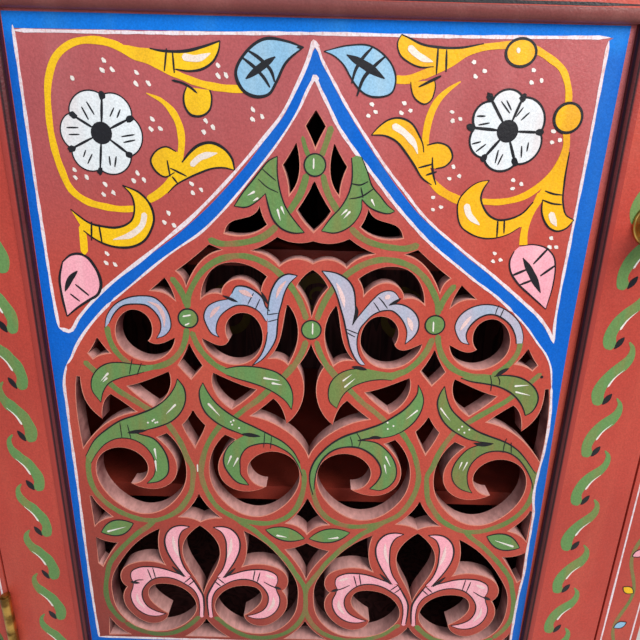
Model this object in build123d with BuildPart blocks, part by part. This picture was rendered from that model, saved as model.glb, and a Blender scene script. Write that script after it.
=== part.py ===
from build123d import *
import os

# A free-standing painted cabinet with one pierced, framed door, shelves and a plinth.
# Millimetres.  The front faces -Y and Z is up.  The origin is on the floor, in the
# middle of the outer box.

# ---- Driving dimensions ---------------------------------------------------------

# Door: a frame of stiles and rails round a pierced panel, with an applied moulding.
sight_width = 438.0
sight_height = 574.0
door_thickness = 25.0
door_stile_width = 62.0
door_rail_width = 62.0
panel_thickness = 15.0
panel_recess = 6.5
panel_tongue = 8.0
panel_tongue_depth = 8.2
panel_groove_depth = 9.0
moulding_width = 8.0
moulding_height = 7.5
moulding_lip = 2.0
moulding_flat = 1.5
border_below_drawing = 11.0

# Joints of the door frame and of the face frame.
tenon_thickness = 8.0
tenon_shoulder = 10.0
door_tenon_length = 40.0
face_tenon_length = 25.0
face_tenon_shoulder = 6.0
peg_diameter = 6.0
peg_spacing = 22.0
peg_proud = 0.6

# Carcase.
door_gap = 2.0
seat_gap = 0.3
face_stile_width = 40.0
face_rail_width = 36.0
face_thickness = 20.0
side_thickness = 18.0
case_board = 18.0
case_depth = 350.0
housing_depth = 6.0
shelf_thickness = 15.0
shelf_setback = 36.5
lower_clear_height = 232.0
middle_clear_height = 219.0
cleat_width = 16.0
cleat_height = 20.0
cleat_end_gap = 10.0
back_thickness = 10.0
back_rebate = 9.0
back_plank_count = 4

# Top and plinth.
slab_thickness = 18.0
slab_overhang = 28.0
slab_round = 5.0
cornice_height = 28.0
cornice_projection = 22.0
cornice_foot = 6.0
cornice_fillet = 4.0
plinth_height = 70.0
plinth_thickness = 20.0
plinth_projection = 8.0
plinth_chamfer = 7.0
foot_width = 95.0
apron_cut_height = 34.0
apron_lobe = 16.0
plinth_back_clearance = 30.0
corner_block = 28.0
corner_block_clearance = 8.0

# Hinges.
hinge_height = 66.0
hinge_end_distance = 110.0
hinge_leaf_thickness = 1.6
hinge_leaf_width = 19.0
hinge_leaf_gap = 0.4
hinge_barrel_diameter = 9.0
hinge_barrel_clearance = 0.3
hinge_pin_diameter = 4.0
hinge_pin_clearance = 0.05
hinge_pin_head = 6.0
hinge_pin_head_height = 1.5
hinge_knuckle_gap = 0.3
hinge_tab_reach = 0.5
screw_diameter = 3.0
screw_head_diameter = 5.6
screw_length = 17.0
screw_spacing = 22.0

# Catch: a knob whose spindle turns a tongue behind the face frame.
knob_height_above_drawing = 430.0
knob_length = 24.0
knob_foot_diameter = 20.0
knob_foot_height = 2.0
knob_neck_diameter = 13.0
knob_neck_height = 7.5
knob_shoulder_diameter = 23.0
knob_shoulder_height = 12.5
knob_crown_diameter = 27.0
knob_crown_height = 17.0
knob_brow_diameter = 18.0
knob_brow_height = 22.3
knob_socket_depth = 12.0
spindle_diameter = 8.0
spindle_clearance = 0.05
spindle_end = 1.5
rosette_diameter = 36.0
rosette_thickness = 2.5
tongue_thickness = 4.0
tongue_width = 14.0
tongue_reach = 46.0
tongue_hub_diameter = 20.0
nut_across_flats = 13.0
nut_thickness = 5.0
keeper_length = 40.0
keeper_clearance = 0.6
keeper_side_gap = 1.0
stop_overlap = 6.0
stop_thickness = 12.0
stop_length = 80.0
stop_end_distance = 45.0

# Nails that hold the back planks to the bottom and the top board.
nail_head_diameter = 7.0
nail_head_height = 1.0
nail_shank_diameter = 2.5
nail_length = 22.0
nail_edge_distance = 20.0

# Hand work: the right half of the fretwork is cut wider and lower towards its foot.
right_spread = 0.054
right_spread_end = 470.0
right_drop = 0.045
right_drop_end = 300.0
right_drop_start = 12.0
drawing_foot = 4.5

# ---- Places worked out from the driving dimensions --------------------------------

frame_half = sight_width / 2 + moulding_width
door_half = frame_half + door_stile_width
opening_half = door_half + door_gap
case_half = opening_half + face_stile_width
side_inner = case_half - side_thickness
slab_half = case_half + slab_overhang

case_bottom = plinth_height
opening_bottom = case_bottom + face_rail_width
door_bottom = opening_bottom + door_gap
frame_bottom = door_bottom + door_rail_width
sight_bottom = frame_bottom + moulding_width
drawing_base = sight_bottom + border_below_drawing
sight_top = sight_bottom + sight_height
frame_top = sight_top + moulding_width
door_top = frame_top + door_rail_width
opening_top = door_top + door_gap
case_top = opening_top + face_rail_width
slab_top = case_top + slab_thickness

back = (case_depth + slab_overhang) / 2
face_front = back - case_depth
face_back = face_front + face_thickness
back_front = back - back_thickness
door_back = face_front + door_thickness
panel_front = face_front + panel_recess
panel_back = panel_front + panel_thickness
tongue_front = panel_front + (panel_thickness - panel_tongue) / 2
tenon_front = face_front + (door_thickness - tenon_thickness) / 2
face_tenon_front = face_front + (face_thickness - tenon_thickness) / 2

lower_shelf_bottom = opening_bottom + lower_clear_height
upper_shelf_bottom = lower_shelf_bottom + shelf_thickness + middle_clear_height
shelf_front = face_front + shelf_setback

hinge_x = -(door_half + opening_half) / 2
hinge_y = face_front - hinge_barrel_clearance - hinge_barrel_diameter / 2
hinge_places = {
    "lower": door_bottom + hinge_end_distance,
    "upper": door_top - hinge_end_distance,
}
leaf_front = face_front + hinge_tab_reach
leaf_back = leaf_front + hinge_leaf_width
leaf_middle = (leaf_front + leaf_back) / 2

knob_x = frame_half + door_stile_width / 2
knob_z = drawing_base + knob_height_above_drawing
rosette_front = face_front - rosette_thickness
tongue_start = door_back + seat_gap
tongue_end = tongue_start + tongue_thickness

# ---- Drawing of the fretwork -------------------------------------------------------
# Points are (across, up) in millimetres from the middle of the panel and the foot of
# the drawing.  An opening is a closed loop of runs: each run starts at a sharp point,
# curves smoothly through its own points and ends where the next run starts.

bottom_row_axis = -99.3
second_row_axis = -99.8
third_row_axis = -101.2

scroll_void = [
    [(-138.8, 136), (-150, 129.5), (-167, 114), (-181, 94), (-189.5, 76), (-191, 57),
     (-188.5, 40), (-180, 24.5), (-166, 13.5), (-149, 10.5), (-131, 15), (-115, 28),
     (-108.6, 42), (-112, 56), (-123, 67), (-140, 71), (-152, 67), (-155.3, 57),
     (-149, 44)],
    [(-137, 34), (-143, 24), (-155, 20.5), (-170, 28.5), (-180, 45), (-180, 58)],
    [(-175.8, 66), (-181.3, 76), (-178, 88), (-167, 95.5), (-150, 98)],
    [(-137, 94.5), (-141.3, 110), (-141.5, 122)],
]
lens_void = [
    [(-100.8, 140.7), (-111, 131), (-118, 117), (-117, 100), (-108.5, 80.5)],
    [(-100.8, 60), (-93.1, 80.5), (-84.6, 100), (-83.6, 117), (-90.6, 131)],
]
corner_void = [
    [(-197.5, 28), (-193, 20), (-187, 12.5)],
    [(-177.5, 5)],
    [(-198.8, 4.5)],
]
foot_void = [
    [(-99.3, 28.5), (-103.5, 21.5), (-110.5, 13.5)],
    [(-121, 4.5)],
    [(-77.6, 4.5), (-88.1, 13.5), (-95.1, 21.5)],
]
middle_foot_void = [
    [(0, 28.5), (-4.3, 21), (-11, 13)],
    [(-20.5, 4.5)],
    [(20.5, 4.5), (11, 13), (4.3, 21)],
]
crossing_void = [
    [(-100, 176), (-104.5, 167), (-109.5, 160)],
    [(-120, 149.8), (-111, 149.5)],
    [(-100, 145.3), (-89, 149.5)],
    [(-80.5, 150), (-90.5, 160), (-95.5, 167)],
]
edge_void_high = [
    [(-199, 170.5), (-195.5, 163), (-190, 156)],
    [(-182.5, 148), (-189, 146), (-195, 142.5)],
    [(-199.8, 137.5)],
    [(-201, 170)],
]
edge_void_low = [
    [(-200.5, 124.5), (-194, 121), (-187, 119)],
    [(-180, 118.5), (-185, 112), (-191, 102.5)],
    [(-197.3, 91)],
    [(-200.8, 94)],
]
crescent_void = [
    [(-125.5, 237.7), (-116, 225), (-110.4, 205), (-114, 182), (-123, 168), (-138, 156),
     (-155, 153), (-171, 160), (-185, 175), (-191.8, 194), (-187, 213), (-172, 221.7),
     (-156, 219), (-145, 205), (-147, 194)],
    [(-161.5, 185.3), (-148, 180), (-134, 181), (-121.5, 191), (-118.3, 206), (-125, 223)],
    [(-134.5, 233.3)],
]
wedge_void = [
    [(-156.5, 282), (-145, 285.5), (-133, 290.5)],
    [(-120, 296.5), (-118.9, 288), (-122, 277)],
    [(-135, 263.3), (-146, 271.8)],
]
diamond_void = [
    [(-101.2, 261.3), (-105.5, 253.5)],
    [(-111.3, 246.3), (-107, 236)],
    [(-101.2, 225.3), (-95.4, 236)],
    [(-91.1, 246.3), (-96.9, 253.5)],
]
edge_void_tall = [
    [(-196, 289.8), (-196, 279), (-194, 268), (-189, 258.5)],
    [(-181, 250.3), (-180, 259.5), (-177, 268)],
    [(-171.3, 274.2), (-162, 267.5)],
    [(-151, 258), (-162, 255), (-174, 249), (-187, 238.5)],
    [(-201, 221), (-202.3, 250), (-201.5, 272)],
    [(-199, 290)],
]
outer_eye_void = [
    [(-112.8, 327), (-115.5, 319), (-125, 309.3), (-137, 306), (-151, 310.5), (-160.3, 321.5),
     (-161.3, 334), (-156, 345), (-146, 350.3), (-135, 345.5), (-131.2, 335.5)],
    [(-135.5, 323.6), (-127, 321), (-118, 324.3)],
]
inner_eye_void = [
    [(-90.5, 327.3), (-82, 312.5), (-68, 305.3), (-52, 308), (-42, 320), (-41.5, 338),
     (-50, 348.7), (-62, 348.8), (-70, 339.5), (-70, 331)],
    [(-68, 326), (-74, 321.2), (-83, 323.5)],
]
corner_leaf_void = [
    [(-177.5, 325.7), (-173.5, 319)],
    [(-168.5, 312), (-176, 310.5)],
    [(-183, 306.8)],
    [(-186.7, 311), (-181.5, 318.5)],
]
shoulder_void = [
    [(-118, 377.7), (-113.5, 369)],
    [(-110.5, 358.8), (-117, 364.3)],
    [(-130.3, 366.8)],
]
slot_void = [
    [(-108.5, 383.2), (-95, 393.5)],
    [(-81.5, 405)],
    [(-71.5, 401), (-83, 396.5), (-93, 386.5)],
    [(-101.3, 371), (-103.5, 378)],
]
cap_void = [
    [(-89.5, 361.8), (-86, 376.5), (-76, 388), (-62, 391.3), (-49, 388.5)],
    [(-36.3, 380.5), (-40, 374)],
    [(-41.2, 367.5), (-48, 374.5), (-58, 378.5), (-68.5, 375)],
    [(-73.3, 365.8), (-81, 366.2)],
]
petal_void = [
    [(-19.8, 358.5), (-13.5, 348), (-11, 336), (-12.5, 322)],
    [(-19, 306.5), (-26.5, 311)],
    [(-35.5, 311), (-27.5, 323), (-23.3, 340)],
]
lower_diamond_void = [
    [(-101.3, 322.5), (-106, 312)],
    [(-111.5, 302.7), (-106.5, 296.5)],
    [(-101.3, 290.8), (-96.1, 296.5)],
    [(-91.1, 302.7), (-96.6, 312)],
]
lancet_void = [
    [(-14, 481.5), (-19.5, 472)],
    [(-24, 465.3), (-20.5, 456)],
    [(-18.7, 444.8), (-13.5, 453), (-11.5, 467)],
]
fish_void = [
    [(-41.5, 435.5), (-39.5, 428)],
    [(-36, 421.3), (-46, 415)],
    [(-69, 414), (-62, 423.5), (-53, 426)],
]

# Openings on the middle line are given by their left edge, from the top to the bottom.
waist_void = [
    [(0, 174.5), (-4.5, 165), (-10.5, 155.5)],
    [(-19.5, 146), (-11, 144)],
]
waist_void_foot = (0, 134.7)
heart_void = [
    [(0, 123.7), (-5, 120.8)],
    [(-20.5, 115.7), (-11, 103), (-5, 93)],
]
heart_void_foot = (0, 81)
centre_void = [
    [(0, 325), (-4, 315)],
    [(-11, 304.5), (-6, 293), (-6, 274), (-12.5, 258.5)],
    [(-20, 250.3), (-22, 259), (-26, 268)],
    [(-31.5, 274), (-40, 266)],
    [(-51, 257), (-38, 253.7), (-24, 246.3), (-10, 234.5)],
]
centre_void_foot = (0, 218.5)
crown_void = [
    [(0, 387), (-6.5, 382)],
    [(-12.5, 373), (-6.5, 365)],
]
crown_void_foot = (0, 347.7)
cloud_void = [
    [(0, 409.6), (-7, 408)],
    [(-28, 412), (-38, 405.5)],
    [(-48.5, 401), (-36, 397.5)],
    [(-26.5, 389.8), (-13, 395.8)],
]
cloud_void_foot = (0, 392.3)
spear_void = [
    [(0, 504), (-3.5, 499)],
    [(-7.3, 493), (-3, 485)],
]
spear_void_foot = (0, 478.5)
kite_void = [
    [(0, 455), (-5, 445)],
    [(-13, 432.5), (-7, 424)],
]
kite_void_foot = (0, 417)

# Loops cut four times: left and right, and each mirrored about the axis of its row.
paired_voids = [
    (scroll_void, bottom_row_axis),
    (crescent_void, second_row_axis),
    (wedge_void, third_row_axis),
]
# Loops cut twice, left and right.
mirrored_voids = [
    lens_void, corner_void, foot_void, crossing_void, edge_void_high, edge_void_low,
    diamond_void, edge_void_tall, outer_eye_void, inner_eye_void, corner_leaf_void,
    shoulder_void, slot_void, cap_void, petal_void, lower_diamond_void, lancet_void,
    fish_void,
]
# Loops on the middle line, each with the point at its foot.
middle_voids = [
    (waist_void, waist_void_foot),
    (heart_void, heart_void_foot),
    (centre_void, centre_void_foot),
    (crown_void, crown_void_foot),
    (cloud_void, cloud_void_foot),
    (spear_void, spear_void_foot),
    (kite_void, kite_void_foot),
]

# ---- Helpers --------------------------------------------------------------------------


def middle(span):
    """The middle of a (low, high) span."""
    return (span[0] + span[1]) / 2


def reach(span):
    """The length of a (low, high) span."""
    return span[1] - span[0]


def mirror_loop(loop, axis):
    """The loop mirrored left to right about a vertical line at the given place."""
    return [[(2 * axis - x, z) for x, z in run] for run in loop]


def close_on_middle(loop, foot):
    """A whole loop from its left edge: the right edge is the left one seen in a mirror."""
    right = []
    for run, end in zip(loop, [following[0] for following in loop[1:]] + [foot]):
        right.insert(0, [(-x, z) for x, z in [end] + run[:0:-1]])
    return loop + right


def hand_cut(point):
    """Where a point of the drawing was really cut: the right half spreads and drops."""
    x, z = point
    if x <= 0:
        return point
    spread = right_spread * max(0, 1 - z / right_spread_end)
    drop = right_drop * max(0, 1 - z / right_drop_end)
    started = min(1, (z - drawing_foot) / right_drop_start)
    return (x + x * spread, z - x * drop * started)


def block(x, y, z, mode=Mode.ADD):
    """Add or cut a rectangular block in the current part, between its pairs of faces."""
    with Locations((middle(x), middle(y), middle(z))):
        Box(reach(x), reach(y), reach(z), mode=mode)


def round_bar(centre, axis_y, diameter, mode=Mode.ADD):
    """Add or cut a round bar along Y; centre is (x, z) and axis_y its two ends."""
    with Locations(Location((centre[0], middle(axis_y), centre[1]), (90, 0, 0))):
        Cylinder(diameter / 2, reach(axis_y), mode=mode)


def nail(place, mode=Mode.ADD):
    """Add or cut a nail of the back planks at (x, z); its head is flush with their back."""
    round_bar(place, (back - nail_length, back), nail_shank_diameter, mode)
    round_bar(place, (back - nail_head_height, back), nail_head_diameter, mode)


def save(piece, name):
    """Label a finished piece and write it."""
    piece.part.label = name
    export_step(piece.part, "parts/" + name + ".step")


def save_board(name, x, y, z):
    """Make and write a plain board."""
    with BuildPart() as board:
        block(x, y, z)
    save(board, name)


def outward(side, near, far):
    """A span on the left (-1) or right (+1) side of the cabinet, given from the middle."""
    return tuple(sorted((side * near, side * far)))


def screw(place, side, mode=Mode.ADD):
    """Add or cut a countersunk screw along X at (x, y, z); side is the way it points."""
    head = hinge_leaf_thickness
    head_middle = Location((place[0] + side * head / 2, place[1], place[2]), (0, 90 * side, 0))
    shank = screw_length - head
    shank_middle = (place[0] + side * (head + shank / 2), place[1], place[2])
    with Locations(head_middle):
        Cone(screw_head_diameter / 2, screw_diameter / 2, head, mode=mode)
    with Locations(Location(shank_middle, (0, 90, 0))):
        Cylinder(screw_diameter / 2, shank, mode=mode)


sides = {"left": -1, "right": 1}
os.makedirs("parts", exist_ok=True)

# ---- Door panel with its fretwork --------------------------------------------------------

every_void = [middle_foot_void]
for loop, row_axis in paired_voids:
    for copy in (loop, mirror_loop(loop, row_axis)):
        every_void += [copy, mirror_loop(copy, 0)]
for loop in mirrored_voids:
    every_void += [loop, mirror_loop(loop, 0)]
for loop, foot in middle_voids:
    every_void.append(close_on_middle(loop, foot))

with BuildPart() as door_panel:
    block((-frame_half, frame_half), (panel_front, panel_back), (frame_bottom, frame_top))
    block(
        (-frame_half - panel_tongue_depth, frame_half + panel_tongue_depth),
        (tongue_front, tongue_front + panel_tongue),
        (frame_bottom - panel_tongue_depth, frame_top + panel_tongue_depth),
    )
    drawing_plane = Plane(
        origin=(0, panel_back, drawing_base), x_dir=(1, 0, 0), z_dir=(0, -1, 0)
    )
    with BuildSketch(drawing_plane) as fretwork:
        for loop in every_void:
            with BuildLine() as outline:
                for run, following in zip(loop, loop[1:] + loop[:1]):
                    stops = [hand_cut(point) for point in run + following[:1]]
                    if len(stops) == 2:
                        Line(*stops)
                    else:
                        Spline(*stops)
            make_face()
    extrude(amount=panel_thickness, mode=Mode.SUBTRACT)
save(door_panel, "door_panel")

# ---- Door frame -------------------------------------------------------------------------

rail_spans = {
    "bottom": (door_bottom, frame_bottom),
    "top": (frame_top, door_top),
}
tenon_span = (tenon_front, tenon_front + tenon_thickness)
groove_span = (tongue_front, tongue_front + panel_tongue)
peg_x = frame_half + door_tenon_length / 2
peg_heights = [
    middle(span) + step * peg_spacing / 2 for span in rail_spans.values() for step in (-1, 1)
]

for side_name, side in sides.items():
    with BuildPart() as door_stile:
        block(
            outward(side, frame_half, door_half),
            (face_front, door_back),
            (door_bottom, door_top),
        )
        block(
            outward(side, frame_half, frame_half + panel_groove_depth),
            groove_span,
            (frame_bottom - panel_groove_depth, frame_top + panel_groove_depth),
            mode=Mode.SUBTRACT,
        )
        for span in rail_spans.values():
            block(
                outward(side, frame_half, frame_half + door_tenon_length),
                tenon_span,
                (span[0] + tenon_shoulder, span[1] - tenon_shoulder),
                mode=Mode.SUBTRACT,
            )
        for height in peg_heights:
            round_bar((side * peg_x, height), (face_front, door_back), peg_diameter, Mode.SUBTRACT)
        if side > 0:
            bore = spindle_diameter + 2 * spindle_clearance
            round_bar((knob_x, knob_z), (face_front, door_back), bore, Mode.SUBTRACT)
        else:
            for centre in hinge_places.values():
                mortise_floor = hinge_x + hinge_leaf_gap / 2 + hinge_leaf_thickness
                block(
                    (-door_half, mortise_floor),
                    (face_front, leaf_back),
                    (centre - hinge_height / 2, centre + hinge_height / 2),
                    mode=Mode.SUBTRACT,
                )
                for step in (-1, 0, 1):
                    place = (hinge_x + hinge_leaf_gap / 2, leaf_middle, centre + step * screw_spacing)
                    screw(place, 1, Mode.SUBTRACT)
    save(door_stile, "door_stile_" + side_name)

for rail_name, span in rail_spans.items():
    with BuildPart() as door_rail:
        block((-frame_half, frame_half), (face_front, door_back), span)
        tenon_end = frame_half + door_tenon_length
        tenon_heights = (span[0] + tenon_shoulder, span[1] - tenon_shoulder)
        block((-tenon_end, tenon_end), tenon_span, tenon_heights)
        if rail_name == "bottom":
            groove_heights = (span[1] - panel_groove_depth, span[1])
        else:
            groove_heights = (span[0], span[0] + panel_groove_depth)
        block((-frame_half, frame_half), groove_span, groove_heights, mode=Mode.SUBTRACT)
        for height in peg_heights:
            for side in (-1, 1):
                round_bar((side * peg_x, height), tenon_span, peg_diameter, Mode.SUBTRACT)
    save(door_rail, "door_rail_" + rail_name)

with BuildPart() as door_pegs:
    for height in peg_heights:
        for side in (-1, 1):
            round_bar((side * peg_x, height), (face_front - peg_proud, door_back), peg_diameter)
save(door_pegs, "door_pegs")

# ---- Moulding round the panel: four strips, mitred at the corners -------------------------

def draw_moulding_section(frame_edge, inward):
    """Section of the strip: first forward from the panel, then from the frame's edge."""
    lip_edge = frame_edge + inward * moulding_width
    top_edge = frame_edge + inward * moulding_flat
    with BuildLine() as section:
        Line((0, frame_edge), (0, lip_edge))
        Line((0, lip_edge), (moulding_lip, lip_edge))
        EllipticalCenterArc(
            center=(moulding_lip, top_edge),
            x_radius=moulding_height - moulding_lip,
            y_radius=moulding_width - moulding_flat,
            start_angle=0 if inward > 0 else 270,
            arc_size=90,
        )
        Line((moulding_height, top_edge), (moulding_height, frame_edge))
        Line((moulding_height, frame_edge), (0, frame_edge))
    return section.line


for strip_name, frame_edge, inward in (("bottom", frame_bottom, 1), ("top", frame_top, -1)):
    sight_edge = frame_edge + inward * moulding_width
    mitre = [
        (-frame_half, frame_edge), (frame_half, frame_edge),
        (frame_half - moulding_width, sight_edge), (moulding_width - frame_half, sight_edge),
    ]
    with BuildPart() as moulding_strip:
        with BuildSketch(Plane(origin=(-frame_half, panel_front, 0), x_dir=(0, -1, 0), z_dir=(1, 0, 0))):
            add(draw_moulding_section(-frame_edge, -inward))
            make_face()
        extrude(amount=2 * frame_half)
        with BuildSketch(Plane.XZ.offset(-panel_front)):
            Polygon(*mitre, align=None)
        extrude(amount=moulding_height, mode=Mode.INTERSECT)
    save(moulding_strip, "panel_moulding_" + strip_name)

for side_name, side in sides.items():
    sight_edge = side * (frame_half - moulding_width)
    mitre = [
        (side * frame_half, frame_bottom), (side * frame_half, frame_top),
        (sight_edge, frame_top - moulding_width), (sight_edge, frame_bottom + moulding_width),
    ]
    with BuildPart() as moulding_strip:
        with BuildSketch(Plane(origin=(0, panel_front, frame_bottom), x_dir=(0, -1, 0), z_dir=(0, 0, 1))):
            add(draw_moulding_section(side * frame_half, -side))
            make_face()
        extrude(amount=frame_top - frame_bottom)
        with BuildSketch(Plane.XZ.offset(-panel_front)):
            Polygon(*mitre, align=None)
        extrude(amount=moulding_height, mode=Mode.INTERSECT)
    save(moulding_strip, "panel_moulding_" + side_name)

# ---- Carcase ------------------------------------------------------------------------------

bottom_board_span = (opening_bottom - case_board, opening_bottom)
top_board_span = (case_top - case_board, case_top)

for side_name, side in sides.items():
    with BuildPart() as side_board:
        block(outward(side, side_inner, case_half), (face_back, back), (case_bottom, case_top))
        for span in (bottom_board_span, top_board_span):
            block(
                outward(side, side_inner, side_inner + housing_depth),
                (face_back, back_front),
                span,
                mode=Mode.SUBTRACT,
            )
        block(
            outward(side, side_inner, side_inner + back_rebate),
            (back_front, back),
            (case_bottom, case_top),
            mode=Mode.SUBTRACT,
        )
    save(side_board, "side_board_" + side_name)

board_half = side_inner + housing_depth
plank_width = 2 * (side_inner + back_rebate) / back_plank_count
plank_edges = [number * plank_width - side_inner - back_rebate for number in range(back_plank_count + 1)]
nail_places = [
    (plank_edge + offset, middle(span))
    for plank_edge in plank_edges[:-1]
    for offset in (nail_edge_distance, plank_width - nail_edge_distance)
    for span in (bottom_board_span, top_board_span)
]

for board_name, span in (("bottom_board", bottom_board_span), ("top_board", top_board_span)):
    with BuildPart() as case_end:
        block((-board_half, board_half), (face_back, back_front), span)
        for place in nail_places:
            if place[1] == middle(span):
                nail(place, Mode.SUBTRACT)
    save(case_end, board_name)

for level, shelf_bottom in (("lower", lower_shelf_bottom), ("upper", upper_shelf_bottom)):
    save_board(
        "shelf_" + level,
        (-side_inner, side_inner),
        (shelf_front, back_front),
        (shelf_bottom, shelf_bottom + shelf_thickness),
    )
    for side_name, side in sides.items():
        save_board(
            "shelf_cleat_" + level + "_" + side_name,
            outward(side, side_inner - cleat_width, side_inner),
            (shelf_front + cleat_end_gap, back_front - cleat_end_gap),
            (shelf_bottom - cleat_height, shelf_bottom),
        )

for number, span in enumerate(zip(plank_edges, plank_edges[1:]), start=1):
    with BuildPart() as back_plank:
        block(span, (back_front, back), (case_bottom, case_top))
        for place in nail_places:
            if span[0] < place[0] < span[1]:
                nail(place, Mode.SUBTRACT)
    save(back_plank, "back_plank_" + str(number))

with BuildPart() as back_nails:
    for place in nail_places:
        nail(place)
save(back_nails, "back_nails")

# ---- Face frame round the door ------------------------------------------------------------

face_tenon_span = (face_tenon_front, face_tenon_front + tenon_thickness)
face_rail_spans = {
    "bottom": (case_bottom, opening_bottom),
    "top": (opening_top, case_top),
}
for side_name, side in sides.items():
    with BuildPart() as face_stile:
        block(
            outward(side, opening_half, case_half),
            (face_front, face_back),
            (case_bottom, case_top),
        )
        for span in face_rail_spans.values():
            block(
                outward(side, opening_half, opening_half + face_tenon_length),
                face_tenon_span,
                (span[0] + face_tenon_shoulder, span[1] - face_tenon_shoulder),
                mode=Mode.SUBTRACT,
            )
        if side < 0:
            for centre in hinge_places.values():
                mortise_floor = hinge_x - hinge_leaf_gap / 2 - hinge_leaf_thickness
                block(
                    (mortise_floor, -opening_half),
                    (face_front, face_back),
                    (centre - hinge_height / 2, centre + hinge_height / 2),
                    mode=Mode.SUBTRACT,
                )
                for step in (-1, 0, 1):
                    place = (hinge_x - hinge_leaf_gap / 2, leaf_middle, centre + step * screw_spacing)
                    screw(place, -1, Mode.SUBTRACT)
    save(face_stile, "face_stile_" + side_name)

for rail_name, span in face_rail_spans.items():
    with BuildPart() as face_rail:
        block((-opening_half, opening_half), (face_front, face_back), span)
        tenon_end = opening_half + face_tenon_length
        tenon_heights = (span[0] + face_tenon_shoulder, span[1] - face_tenon_shoulder)
        block((-tenon_end, tenon_end), face_tenon_span, tenon_heights)
    save(face_rail, "face_rail_" + rail_name)

# ---- Top slab and cornice --------------------------------------------------------------------

with BuildPart() as top_slab:
    block((-slab_half, slab_half), (face_front - slab_overhang, back), (case_top, slab_top))
    front_edges = top_slab.edges().filter_by(Axis.X).group_by(Axis.Y)[0]
    end_edges = top_slab.edges().filter_by(Axis.Y)
    fillet(front_edges + end_edges, radius=slab_round)
save(top_slab, "top_slab")

cornice_bottom = case_top - cornice_height


def draw_cornice_section(outward_sign, start):
    """Section of the cornice: outwards from the case, and up from its foot."""
    def point(out, up):
        return (start + outward_sign * out, cornice_bottom + up)

    cove_radius = cornice_projection - cornice_foot
    cove_top = cornice_fillet + cove_radius
    half_way = cove_radius * 0.5 ** 0.5
    with BuildLine() as section:
        Line(point(0, 0), point(cornice_foot, 0))
        Line(point(cornice_foot, 0), point(cornice_foot, cornice_fillet))
        ThreePointArc(
            point(cornice_foot, cornice_fillet),
            point(cornice_projection - half_way, cornice_fillet + half_way),
            point(cornice_projection, cove_top),
        )
        Line(point(cornice_projection, cove_top), point(cornice_projection, cornice_height))
        Line(point(cornice_projection, cornice_height), point(0, cornice_height))
        Line(point(0, cornice_height), point(0, 0))
    return section.line


cornice_half = case_half + cornice_projection
cornice_front_edge = face_front - cornice_projection

with BuildPart() as cornice_front:
    with BuildSketch(Plane.YZ.offset(-cornice_half)):
        add(draw_cornice_section(-1, face_front))
        make_face()
    extrude(amount=2 * cornice_half)
    with BuildSketch(Plane.XY.offset(cornice_bottom)):
        Polygon(
            (-case_half, face_front), (case_half, face_front),
            (cornice_half, cornice_front_edge), (-cornice_half, cornice_front_edge),
            align=None,
        )
    extrude(amount=cornice_height, mode=Mode.INTERSECT)
save(cornice_front, "cornice_front")

for side_name, side in sides.items():
    with BuildPart() as cornice_side:
        with BuildSketch(Plane.XZ.offset(-back)):
            add(draw_cornice_section(side, side * case_half))
            make_face()
        extrude(amount=back - cornice_front_edge)
        with BuildSketch(Plane.XY.offset(cornice_bottom)):
            Polygon(
                (side * case_half, face_front), (side * case_half, back),
                (side * cornice_half, back), (side * cornice_half, cornice_front_edge),
                align=None,
            )
        extrude(amount=cornice_height, mode=Mode.INTERSECT)
    save(cornice_side, "cornice_" + side_name)

# ---- Plinth ------------------------------------------------------------------------------------

plinth_half = case_half + plinth_projection
plinth_front_edge = face_front - plinth_projection
plinth_inner_front = plinth_front_edge + plinth_thickness
plinth_inner_half = plinth_half - plinth_thickness


def draw_apron(low, high):
    """Arched cut under a plinth board, from one foot to the other, with a lobe at each."""
    shoulder = apron_cut_height - apron_lobe
    with BuildLine() as apron:
        Line((low, 0), (high, 0))
        Line((high, 0), (high, shoulder))
        RadiusArc((high, shoulder), (high - apron_lobe, apron_cut_height), apron_lobe)
        Line((high - apron_lobe, apron_cut_height), (low + apron_lobe, apron_cut_height))
        RadiusArc((low + apron_lobe, apron_cut_height), (low, shoulder), apron_lobe)
        Line((low, shoulder), (low, 0))
    return apron.line


with BuildPart() as plinth_front:
    block(
        (-plinth_half, plinth_half),
        (plinth_front_edge, plinth_inner_front),
        (0, plinth_height),
    )
    top_front_edge = plinth_front.edges().filter_by(Axis.X).group_by(Axis.Z)[-1].sort_by(Axis.Y)[0]
    chamfer(top_front_edge, length=plinth_chamfer)
    with BuildSketch(Plane.XZ.offset(-plinth_inner_front)):
        add(draw_apron(foot_width - plinth_half, plinth_half - foot_width))
        make_face()
    extrude(amount=plinth_thickness, mode=Mode.SUBTRACT)
save(plinth_front, "plinth_front")

for side_name, side in sides.items():
    with BuildPart() as plinth_side:
        block(
            outward(side, plinth_inner_half, plinth_half),
            (plinth_inner_front, back),
            (0, plinth_height),
        )
        top_edges = plinth_side.edges().filter_by(Axis.Y).group_by(Axis.Z)[-1]
        chamfer(top_edges.sort_by(Axis.X)[-1 if side > 0 else 0], length=plinth_chamfer)
        with BuildSketch(Plane.YZ.offset(-plinth_half if side < 0 else plinth_inner_half)):
            add(draw_apron(plinth_front_edge + foot_width, back - foot_width))
            make_face()
        extrude(amount=plinth_thickness, mode=Mode.SUBTRACT)
    save(plinth_side, "plinth_side_" + side_name)

save_board(
    "plinth_back",
    (-plinth_inner_half, plinth_inner_half),
    (back - plinth_thickness, back),
    (plinth_back_clearance, plinth_height),
)

with BuildPart() as corner_blocks:
    for side in (-1, 1):
        for depth in (plinth_inner_front, back - plinth_thickness - corner_block):
            block(
                outward(side, plinth_inner_half - corner_block, plinth_inner_half),
                (depth, depth + corner_block),
                (corner_block_clearance, plinth_height),
            )
save(corner_blocks, "corner_blocks")

# ---- Door stops and the keeper of the catch ---------------------------------------------------------

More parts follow.
